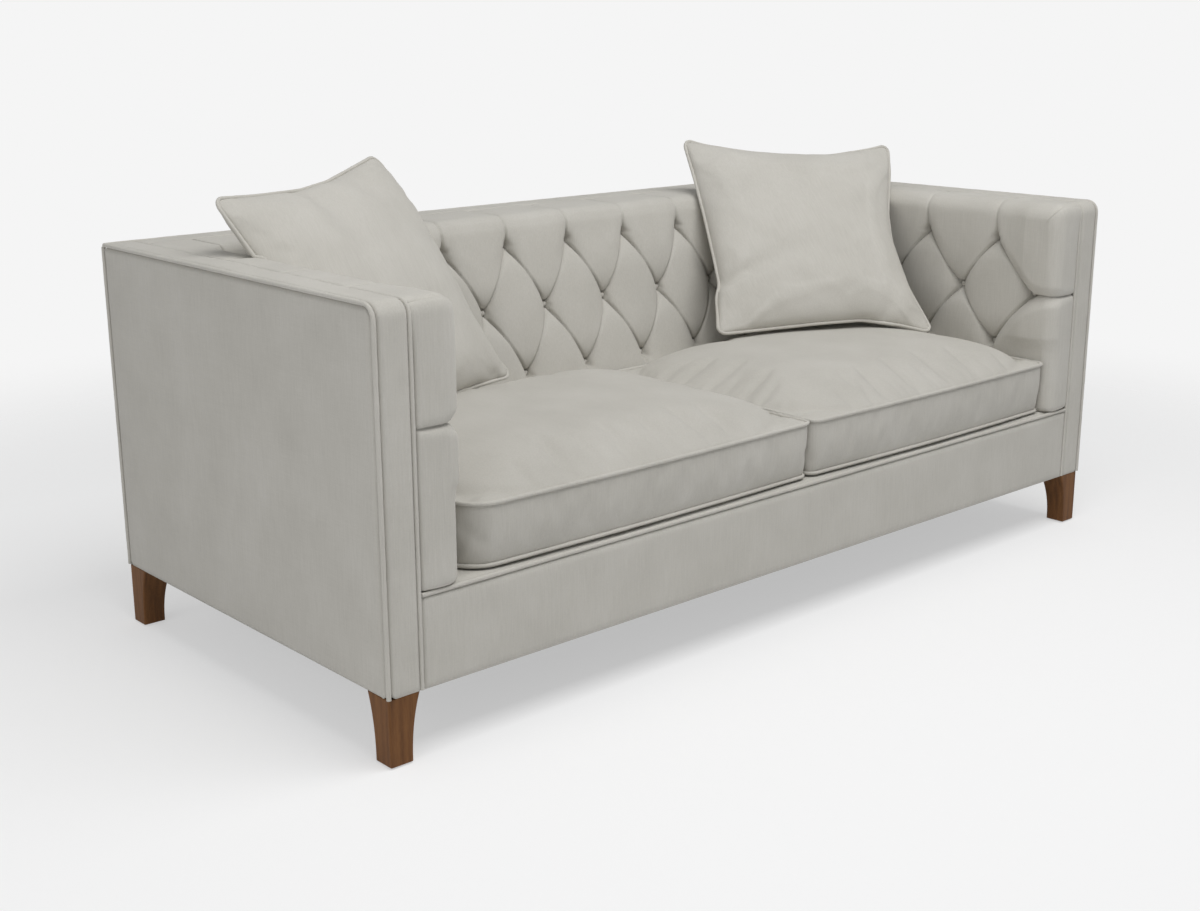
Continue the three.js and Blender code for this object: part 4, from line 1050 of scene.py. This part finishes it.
# A seat cushion's front seam, how high its top crowns over its seams, and how far the front bows
# out in its middle and its lower seam stands back.
SEAT_FRONT = -471
SEAT_CROWN = 62
SEAT_BOW = 7
SEAT_LEAN = 9
# Half the top of a seat cushion, over which its puckers fade.
SEAT_HALF = (425, 320)


def seat_cushion(word, x0, x1, corners, seed):
    """A foam box cushion with a boxing between two welts, a crowned top and a flat underside."""
    columns, rows, levels = 96, 74, 11
    bm, at = box_lattice(columns, rows, levels)
    p, q, level = at[:, 0], at[:, 1], at[:, 2]
    half = (x1 - x0) / 2
    on_rim = border_of(p, q)
    share = np.minimum(1, round_share(p, q, 5))
    z = SEAT_LOWER_WELT + (SEAT_UPPER_WELT - SEAT_LOWER_WELT) * level
    z = np.where(~on_rim & (level > 0.5), SEAT_UPPER_WELT + SEAT_CROWN * (1 - share ** 4.6), z)
    underside = DECK_HEIGHT + 0.6 + 11 * np.clip((share - 0.9) / 0.1, 0, 1) ** 2
    z = np.where(~on_rim & (level < 0.5), underside, z)
    # The seams lie in a groove under the piping, and the boxing fills out between them.
    inset = 5.2 - 3.0 * np.sin(np.pi * np.clip(level, 0, 1)) ** 0.5
    rear = crest_y(np.minimum(z, SEAT_UPPER_WELT)) - 0.8
    middle_y, half_y = (SEAT_FRONT + rear) / 2, (rear - SEAT_FRONT) / 2
    corner = np.where(q < 0, np.where(p < 0, *corners), 24.0)
    half_u, half_v = half - inset, half_y - inset
    u, v = rounded(p * half_u, q * half_v, half_u, half_v, corner)
    to_front = np.clip(-q, 0, 1) ** 3
    v = v - SEAT_BOW * np.cos(p * math.pi / 2) * to_front
    v = v + SEAT_LEAN * (1 - level) * to_front
    u = u - 5 * np.sign(u) * np.cos(q * math.pi / 2) * np.abs(p) ** 3
    put(bm, np.stack([(x0 + x1) / 2 + u, middle_y + v, z], 1))
    node = f"seat_cushion_{word}"
    obj = piece(f"seat_cushion_cover_{word}", bm, seat_linen, node, [node])
    seam = on_rim & ((level < 0.001) | (level > 0.999))
    pinned = seam | (level < 0.001)
    to_seam = np.minimum((1 - np.abs(p)) * half, (1 - np.abs(q)) * half_y)
    gathered = np.where(on_rim, 0.75, np.clip((to_seam - 70) / 160, 0, 0.75))
    gathered = np.where(pinned, 1.0, gathered)
    held = np.where(pinned, 1.0, 0.0)
    swell_under_pressure(obj, held, gathered, pressure=3, slack=0.026, most=7)
    dress_seat(obj, at, seed)
    points = read(obj.data) / MM
    paths = []
    for at_seam in (level > 0.999, level < 0.001):
        ring = np.nonzero(on_rim & at_seam)[0]
        path = points[ring[around_order(p[ring], q[ring])]]
        heading = np.roll(path, -1, 0) - np.roll(path, 1, 0)
        out = np.stack([heading[:, 1], -heading[:, 0], np.zeros(len(path))], 1)
        out /= np.linalg.norm(out, axis=1)[:, None]
        paths.append(path + out * 1.6)
    cushion_welt("seat", word, paths, seed + 5)
    finish_padded(obj)
    return obj


def dress_seat(obj, at, seed):
    """Small puckers on top beside the piping, where the cloth is eased on to it, and soft waves."""
    p, q, level = at[:, 0], at[:, 1], at[:, 2]
    points = read(obj.data) / MM
    normals = read(obj.data, "normal")
    rng = np.random.default_rng(seed)
    on_top = level > 0.999
    to_side = (1 - np.abs(p)) * SEAT_HALF[0]
    to_front = (1 - np.abs(q)) * SEAT_HALF[1]
    move = np.zeros(len(points))
    for across, to_edge, where in (
        (points[:, 0], to_front, q < 0),
        (points[:, 0], to_front, q > 0),
        (points[:, 1], to_side, p < 0),
        (points[:, 1], to_side, p > 0),
    ):
        drift, phase, broad, fine = rng.uniform(0, 6, 4)
        slant = across + 0.5 * to_edge
        wave = np.sin(slant / 3.6 + 2.2 * np.sin(slant / 47 + drift) + phase)
        patchy = 0.35 + 0.65 * np.sin(across / 61 + broad) + 0.3 * np.sin(across / 23 + fine)
        puckers = 1.25 * wave * np.clip(patchy, 0, 1) * np.exp(-((to_edge - 16) / 26) ** 2)
        move += np.where(where & on_top, puckers, 0)
    rim = border_of(p, q)
    boxing = rim & (level > 0.001) & (level < 0.999)
    round_run = np.arctan2(q, p) * 480
    wave = np.sin(round_run / 7 + 3 * np.sin(round_run / 60 + rng.uniform(0, 6)))
    patchy = np.clip(np.sin(round_run / 83 + 1) + 0.4, 0, 1)
    move += np.where(boxing, 0.9 * wave * np.sin(math.pi * level) * patchy, 0)
    waves = 1.4 * ripple(points, 210, seed + 2) * np.clip(to_side / 60, 0, 1)
    move += np.where(on_top & ~rim, waves * np.clip(to_front / 60, 0, 1), 0)
    write(obj.data, (points + normals * move[:, None]) * MM)


seat_left = seat_cushion("left", -862, 33, (60.0, 18.0), 81)
seat_right = seat_cushion("right", 36, 885.3, (20.0, 20.0), 91)


# Scatter cushions

def world_tree(*objects):
    """The finished surfaces of pieces as one search tree, in metres."""
    bm = bmesh.new()
    graph = bpy.context.evaluated_depsgraph_get()
    for obj in objects:
        shown = obj.evaluated_get(graph)
        bm.from_mesh(shown.to_mesh())
        shown.to_mesh_clear()
    tree = BVHTree.FromBMesh(bm)
    bm.free()
    return tree


# A pressed cushion keeps this much off what it lies on.
TOUCH_GAP = 0.9


def overshoot(point, tree, heading, start):
    """How far a point has gone into a surface that is met from the start along an axis."""
    axis = [abs(c) for c in heading].index(1)
    origin = Vector(point)
    origin[axis] = start
    hit = tree.ray_cast(origin * MM, Vector(heading))[0]
    if hit is None:
        return 0.0
    return (point[axis] - hit[axis] / MM) * heading[axis] + TOUCH_GAP


def rest_against(points, tree, heading, start, over_top=True):
    """Presses points back out of a pad until they just touch it.

    They leave it by its face or over its top, whichever is nearer."""
    axis = [abs(c) for c in heading].index(1)
    for k, point in enumerate(points):
        deep = overshoot(point, tree, heading, start)
        if deep <= 0:
            continue
        under = overshoot(point, tree, (0, 0, -1), 1100) if over_top else deep
        if under < deep:
            points[k, 2] += max(0.0, under)
        else:
            points[k, axis] -= heading[axis] * deep
    return points


def edge_line(along, stops):
    """How far a seam stands out from the straight line, at places from -1 to 1 along it."""
    fine = np.linspace(-1, 1, 401)
    window = np.hanning(41)
    line = np.pad(np.interp(fine, *zip(*stops)), 20, mode="edge")
    smooth = np.convolve(line, window / window.sum(), mode="valid")
    return np.interp(along, fine, smooth)


# Half a scatter cushion between its corners, its thickness each way and the radius of its corners.
SCATTER_HALF = 280.0
SCATTER_SWELL = 72
SCATTER_CORNER = 26.0
# Where each scatter cushion's middle lies, and its turn, tilt and roll in degrees.
SCATTER_PLACES = {"right": (629, 79, 704.3), "left": (-641, 125, 698.3)}
SCATTER_TURNS = {"right": (-26, -40, 3.1), "left": (20.8, -33.4, -4.5)}
# Each seam's line against the straight one, in millimetres outwards. The right one's left seam has
# slipped into a nick.
SCATTER_EDGES = {
    "right": {
        "left": [
            (-1, 0), (-0.85, -7), (-0.62, -13), (-0.52, -27),
            (-0.2, -25), (0.2, -20), (0.6, -12), (1, 0),
        ],
        "right": [(-1, 0), (-0.85, -12), (-0.55, -38), (-0.06, -54), (0.24, -46), (0.67, -15), (1, 0)],
        "top": [(-1, 7), (-0.8, -11), (-0.4, -29), (0, -37), (0.4, -35), (0.8, -13), (1, 3)],
        "bottom": [(-1, 0), (-0.6, -12), (-0.1, -27), (0.35, -37), (0.7, -22), (1, 0)],
    },
    "left": {
        "left": [(-1, 0), (-0.5, -16), (0, -24), (0.5, -16), (1, 0)],
        "right": [
            (-1, 0), (-0.77, -19), (-0.47, -22), (-0.2, -10),
            (0.13, 4), (0.5, 14), (0.8, 8), (1, 0),
        ],
        "top": [(-1, 0), (-0.6, -16), (-0.1, -30), (0.26, -28), (0.63, -14), (1, 0)],
        "bottom": [(-1, 0), (-0.5, -18), (0, -26), (0.5, -18), (1, 0)],
    },
}
# Soft dents in each face: from and to, with their depth and width in millimetres.
SCATTER_DENTS = {
    "right": [((-248, -150), (-60, -70), 11, 22), ((150, -250), (230, -90), 7, 30)],
    "left": [((-60, 250), (-20, 90), 9, 30), ((200, -260), (120, -120), 6, 30)],
}


def dent(points, start, end, deep, wide):
    """Draws a cushion's face in along a line, which widens and fades to its end."""
    along = np.array([end[0] - start[0], end[1] - start[1]])
    length = np.linalg.norm(along)
    along = along / length
    du, dv = points[:, 0] - start[0], points[:, 2] - start[1]
    t = np.clip((du * along[0] + dv * along[1]) / length, 0, 1)
    off = np.hypot(du - along[0] * t * length, dv - along[1] * t * length)
    fall = deep * np.exp(-(off / (wide * (0.6 + 0.8 * t))) ** 2) * (1 - 0.6 * t)
    points[:, 1] += np.where(points[:, 1] < -1, fall, 0)


def scatter_cushion(word, side, seed):
    """A knife-edge feather cushion with piping in its seam, leaning where it is put."""
    bm, at = box_lattice(72, 72, 1)
    p, q = at[:, 0], at[:, 1]
    on_rim = border_of(p, q)
    facing = np.where(on_rim, 0, np.where(at[:, 2] > 0.5, -1.0, 1.0))
    corner = np.full(p.shape, SCATTER_CORNER)
    u, v = rounded(p * SCATTER_HALF, q * SCATTER_HALF, SCATTER_HALF, SCATTER_HALF, corner)
    lines = SCATTER_EDGES[word]
    sides = np.where(u > 0, edge_line(q, lines["right"]), edge_line(q, lines["left"]))
    ends = np.where(v > 0, edge_line(p, lines["top"]), edge_line(p, lines["bottom"]))
    u = u + np.sign(u) * sides * np.abs(p) ** 3
    v = v + np.sign(v) * ends * np.abs(q) ** 3
    swell = SCATTER_SWELL * ((1 - np.abs(p) ** 2.6) * (1 - np.abs(q) ** 2.6)) ** 0.56
    put(bm, np.stack([u, facing * swell, v], 1))
    # Both skins meet at the seam, so the doubled rim is merged.
    doubled = [vert for vert, rim in zip(bm.verts, on_rim) if rim]
    bmesh.ops.remove_doubles(bm, verts=doubled, dist=0.1 * MM)
    bmesh.ops.recalc_face_normals(bm, faces=bm.faces[:])
    bm.verts.ensure_lookup_table()
    local = spots(bm)
    rim = np.abs(local[:, 1]) < 0.01
    turn, tilt, roll = SCATTER_TURNS[word]
    # The weave lies square to the cushion's own seams.
    weave_turn = [math.radians(-angle) for angle in (tilt, roll, turn)]
    cloth = linen(f"woven linen scatter {word}", PALE_LINEN, weave_turn)
    node = f"scatter_cushion_{word}"
    obj = piece(f"scatter_cushion_cover_{word}", bm, cloth, node, [node])
    to_seam = SCATTER_HALF - np.maximum(np.abs(local[:, 0]), np.abs(local[:, 2]))
    gathered = np.where(rim, 1.0, np.clip((to_seam - 45) / 150, 0, 0.75))
    held = np.where(rim, 1.0, 0.0)
    swell_under_pressure(obj, held, gathered, pressure=2.5, slack=0.02, most=1.6, frames=16)
    points = read(obj.data) / MM
    points[:, 1] += 2.2 * ripple(points, 190, seed) * (~rim)
    points[:, 1] += 0.9 * ripple(points, 75, seed + 1) * (~rim)
    for marks in SCATTER_DENTS[word]:
        dent(points, *marks)
    lean = Matrix.Identity(3)
    for angle, axis in ((turn, "Z"), (tilt, "X"), (roll, "Y")):
        lean = lean @ Matrix.Rotation(math.radians(angle), 3, axis)
    points = points @ np.array(lean).T + np.array(SCATTER_PLACES[word])
    arm_tree = world_tree(bpy.data.objects[f"tufted_arm_pad_{word}"])
    points = rest_against(points, back_tree, (0, 1, 0), -250)
    points = rest_against(points, arm_tree, (side, 0, 0), side * 300)
    points = rest_against(points, seats_tree, (0, 0, -1), 700, over_top=False)
    write(obj.data, points * MM)
    ring = np.nonzero(rim)[0]
    order = ring[around_order(local[ring, 0], local[ring, 2])]
    cushion_welt("scatter", word, [points[order]], seed + 3)
    finish_padded(obj)


back_tree = world_tree(back_pad)
seats_tree = world_tree(seat_left, seat_right)
scatter_cushion("right", 1, 101)
scatter_cushion("left", -1, 103)


# Underside

bm, at = grid_of(80, 40)
x, y = at[:, 0] * 1040, at[:, 1] * 470
sag = 0.35 * ripple(np.stack([x, y, 0 * x], 1), 260, 131)
sag = sag * (1 - np.abs(at[:, 0]) ** 8) * (1 - np.abs(at[:, 1]) ** 8)
put(bm, np.stack([x, y, 128.7 + sag], 1))
dust = piece("dust_cloth_sheet", bm, black_cloth, replaced=["dust_cloth"])
thicken(dust, 0.8)


# Legs

# Where a leg's outer faces stand, its width at its foot and at its head, where its foot sits on the
# glide, and how far it rises from there.
LEG_X, LEG_Y = 1046, 476
LEG_FOOT, LEG_HEAD = 47, 66
LEG_BASE, LEG_RISE = 3, 124.7
LEG_STEPS = 22


def leg_section(t):
    """Width of a leg at a share of its height: slender at the foot, flaring fast below the seat."""
    return LEG_FOOT + (LEG_HEAD - LEG_FOOT) * t ** 2.3


def leg(word, side, end):
    """A sabre leg from one block: two flat outer faces, two hollow inner ones, edges eased by hand."""
    bm = bmesh.new()
    bmesh.ops.create_grid(bm, x_segments=1, y_segments=1, size=1)
    rounding = {"offset": 0.13, "segments": 4, "profile": 0.5, "affect": "VERTICES", "material": -1}
    bmesh.ops.bevel(bm, geom=bm.verts[:], **rounding)
    plan = {vert: (vert.co.x, vert.co.y) for vert in bm.verts}
    face = bm.faces[:][0]

    def move(face, t):
        width = leg_section(t)
        for vert in face.verts:
            p, q = plan[vert]
            x = side * (LEG_X - width / 2 + side * p * width / 2)
            y = end * (LEG_Y - width / 2 + end * q * width / 2)
            vert.co = Vector((x, y, LEG_BASE + LEG_RISE * t)) * MM

    move(face, 0)
    for k in range(1, LEG_STEPS + 1):
        made = bmesh.ops.extrude_face_region(bm, geom=[face], use_keep_orig=(k == 1))["geom"]
        face = [g for g in made if isinstance(g, bmesh.types.BMFace)][0]
        for vert in face.verts:
            plan[vert] = next(plan[u] for u in plan if (vert.co - u.co).length < 1e-9)
        move(face, k / LEG_STEPS)
    bmesh.ops.recalc_face_normals(bm, faces=bm.faces[:])
    obj = piece(f"walnut_leg_{word}", bm, walnut, replaced=[f"leg_{word}"], smooth=False)
    bevel = obj.modifiers.new("eased ends", "BEVEL")
    bevel.width = 1.2 * MM
    bevel.segments = 2
    bevel.limit_method = "ANGLE"
    bevel.angle_limit = math.radians(50)


def turned(profile, centre):
    """A turned fitting: a profile of (radius, height) spun round an upright axis."""
    bm = bmesh.new()
    verts = [bm.verts.new((r * MM, 0, z * MM)) for r, z in profile]
    for a, b in zip(verts, verts[1:]):
        bm.edges.new((a, b))
    full_turn = {"axis": (0, 0, 1), "angle": 2 * math.pi, "steps": 20, "use_merge": True}
    bmesh.ops.spin(bm, geom=bm.verts[:] + bm.edges[:], cent=(0, 0, 0), **full_turn)
    bmesh.ops.remove_doubles(bm, verts=bm.verts[:], dist=0.001 * MM)
    bmesh.ops.recalc_face_normals(bm, faces=bm.faces[:])
    bmesh.ops.translate(bm, vec=Vector(centre) * MM, verts=bm.verts[:])
    return bm


# Profiles of (radius, height): the floor glide, and the hanger bolt with its thread cut in the rail.
GLIDE = [(0, 0.2), (9, 0), (12, 0.6), (13, 1.8), (13, 3.2), (0, 3.2)]
THREAD = [(5 - 0.6 * (k % 2), 128 + 1.2 * k) for k in range(34)]
BOLT = [(0, 118), (5, 118), *THREAD, (4, 171), (0, 171.5)]
for end, end_word in ((-1, "front"), (1, "back")):
    for side, side_word in SIDES:
        word = f"{end_word}_{side_word}"
        leg(word, side, end)
        for name, profile, width, metal in (
            ("glide", GLIDE, LEG_FOOT, glide_steel),
            ("leg_bolt", BOLT, LEG_HEAD, spring_steel),
        ):
            centre = (side * (LEG_X - width / 2), end * (LEG_Y - width / 2), 0)
            piece(f"{name}_{word}", turned(profile, centre), metal)

# The frame and the springs keep their own solids, in planed beech and drawn steel.
for name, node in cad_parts.items():
    if node.hide_render:
        continue
    material = spring_steel if name.startswith("zigzag") else beech
    if not node.material_slots:
        node.data.materials.append(material)
    for material_slot in node.material_slots:
        material_slot.material = material


# Stage, light and camera

# The floor is plain to this distance from the sofa's middle, and gone from the second one on, in metres.
FLOOR_FADE = (1.4, 3.3)
PAPER_WHITE = "f5f5f5"


def stage_material():
    """A pale studio floor that keeps the shadow and fades into the white surround."""
    material, tree, shader, place = new_material("studio floor")
    plug(tree, shader, {"Base Color": linear("f4f4f4"), "Roughness": 1.0, "Specular IOR Level": 0.0})
    spread = add_node(tree, "ShaderNodeVectorMath", {0: place}, operation="LENGTH").outputs["Value"]
    reach = {"Value": spread, "From Min": FLOOR_FADE[0], "From Max": FLOOR_FADE[1]}
    fade = add_node(tree, "ShaderNodeMapRange", reach, interpolation_type="SMOOTHSTEP").outputs[0]
    clear = add_node(tree, "ShaderNodeBsdfTransparent", {}).outputs[0]
    # What the camera sees of the floor is lifted towards white, so that its shadow stays pale, and
    # fades into the surround. The light that the floor throws back on the sofa is the plain floor's.
    seen = seen_directly(tree)
    share = add_node(tree, "ShaderNodeMath", {0: seen, 1: 0.45}, operation="MULTIPLY").outputs[0]
    glow = add_node(tree, "ShaderNodeEmission", {"Color": linear(PAPER_WHITE), "Strength": 1.17})
    lift = {0: share, 1: shader.outputs[0], 2: glow.outputs[0]}
    lifted = add_node(tree, "ShaderNodeMixShader", lift).outputs[0]
    gone = add_node(tree, "ShaderNodeMath", {0: fade, 1: seen}, operation="MULTIPLY").outputs[0]
    mixed = add_node(tree, "ShaderNodeMixShader", {0: gone, 1: lifted, 2: clear}).outputs[0]
    tree.links.new(mixed, tree.nodes["Material Output"].inputs["Surface"])
    return material


bm, _ = grid_of(2, 2)
bmesh.ops.scale(bm, vec=(7, 7, 1), verts=bm.verts[:])
floor_mesh = bpy.data.meshes.new("studio_floor")
bm.to_mesh(floor_mesh)
bm.free()
floor_mesh.materials.append(stage_material())
floor = bpy.data.objects.new("studio_floor", floor_mesh)
bpy.context.scene.collection.objects.link(floor)

world = bpy.data.worlds.new("studio")
bpy.context.scene.world = world
world.use_nodes = True
tree = world.node_tree
background = tree.nodes["Background"]
# The surround lights the sofa softly, and is seen as plain white paper.
plug(tree, background, {"Color": linear("f7f8fa"), "Strength": 0.3})
paper = add_node(tree, "ShaderNodeBackground", {"Color": linear(PAPER_WHITE), "Strength": 1.0})
surround = {0: seen_directly(tree), 1: background.outputs[0], 2: paper.outputs[0]}
mixed = add_node(tree, "ShaderNodeMixShader", surround).outputs[0]
tree.links.new(mixed, tree.nodes["World Output"].inputs["Surface"])


def softbox(name, place, target, size, power):
    """A large soft lamp that faces a point."""
    light = bpy.data.lights.new(name, "AREA")
    light.shape = "RECTANGLE"
    light.size, light.size_y = size
    light.energy = power
    lamp = bpy.data.objects.new(name, light)
    lamp.location = place
    lamp.rotation_euler = (Vector(target) - Vector(place)).to_track_quat("-Z", "Y").to_euler()
    bpy.context.scene.collection.objects.link(lamp)


softbox("key_softbox", (0, -1.6, 3.8), (0, 0, 0.4), (3.6, 2.0), 96)
softbox("side_softbox", (-4.2, -0.8, 1.8), (0, 0, 0.4), (4.0, 2.4), 31)

# The camera stands where the photograph was taken from, found from the sofa's corners.
CAMERA_PLACE = (-2.4438, -2.5731, 1.2420)
yaw, pitch, tilt = [math.radians(angle) for angle in (41.836, 15.371, -0.212)]
look = Vector((math.sin(yaw) * math.cos(pitch), math.cos(yaw) * math.cos(pitch), -math.sin(pitch)))
right = Vector((math.cos(yaw), -math.sin(yaw), 0))
up = right.cross(look)
across = math.cos(tilt) * right + math.sin(tilt) * up
upright = math.cos(tilt) * up - math.sin(tilt) * right
camera = bpy.data.objects.new("camera", bpy.data.cameras.new("camera"))
turn = Matrix((across, upright, -look)).transposed().to_4x4()
camera.matrix_world = Matrix.Translation(CAMERA_PLACE) @ turn
camera.data.sensor_width = 36
camera.data.lens = 48.12
bpy.context.scene.collection.objects.link(camera)
bpy.context.scene.camera = camera
bpy.context.scene.view_settings.view_transform = "Standard"
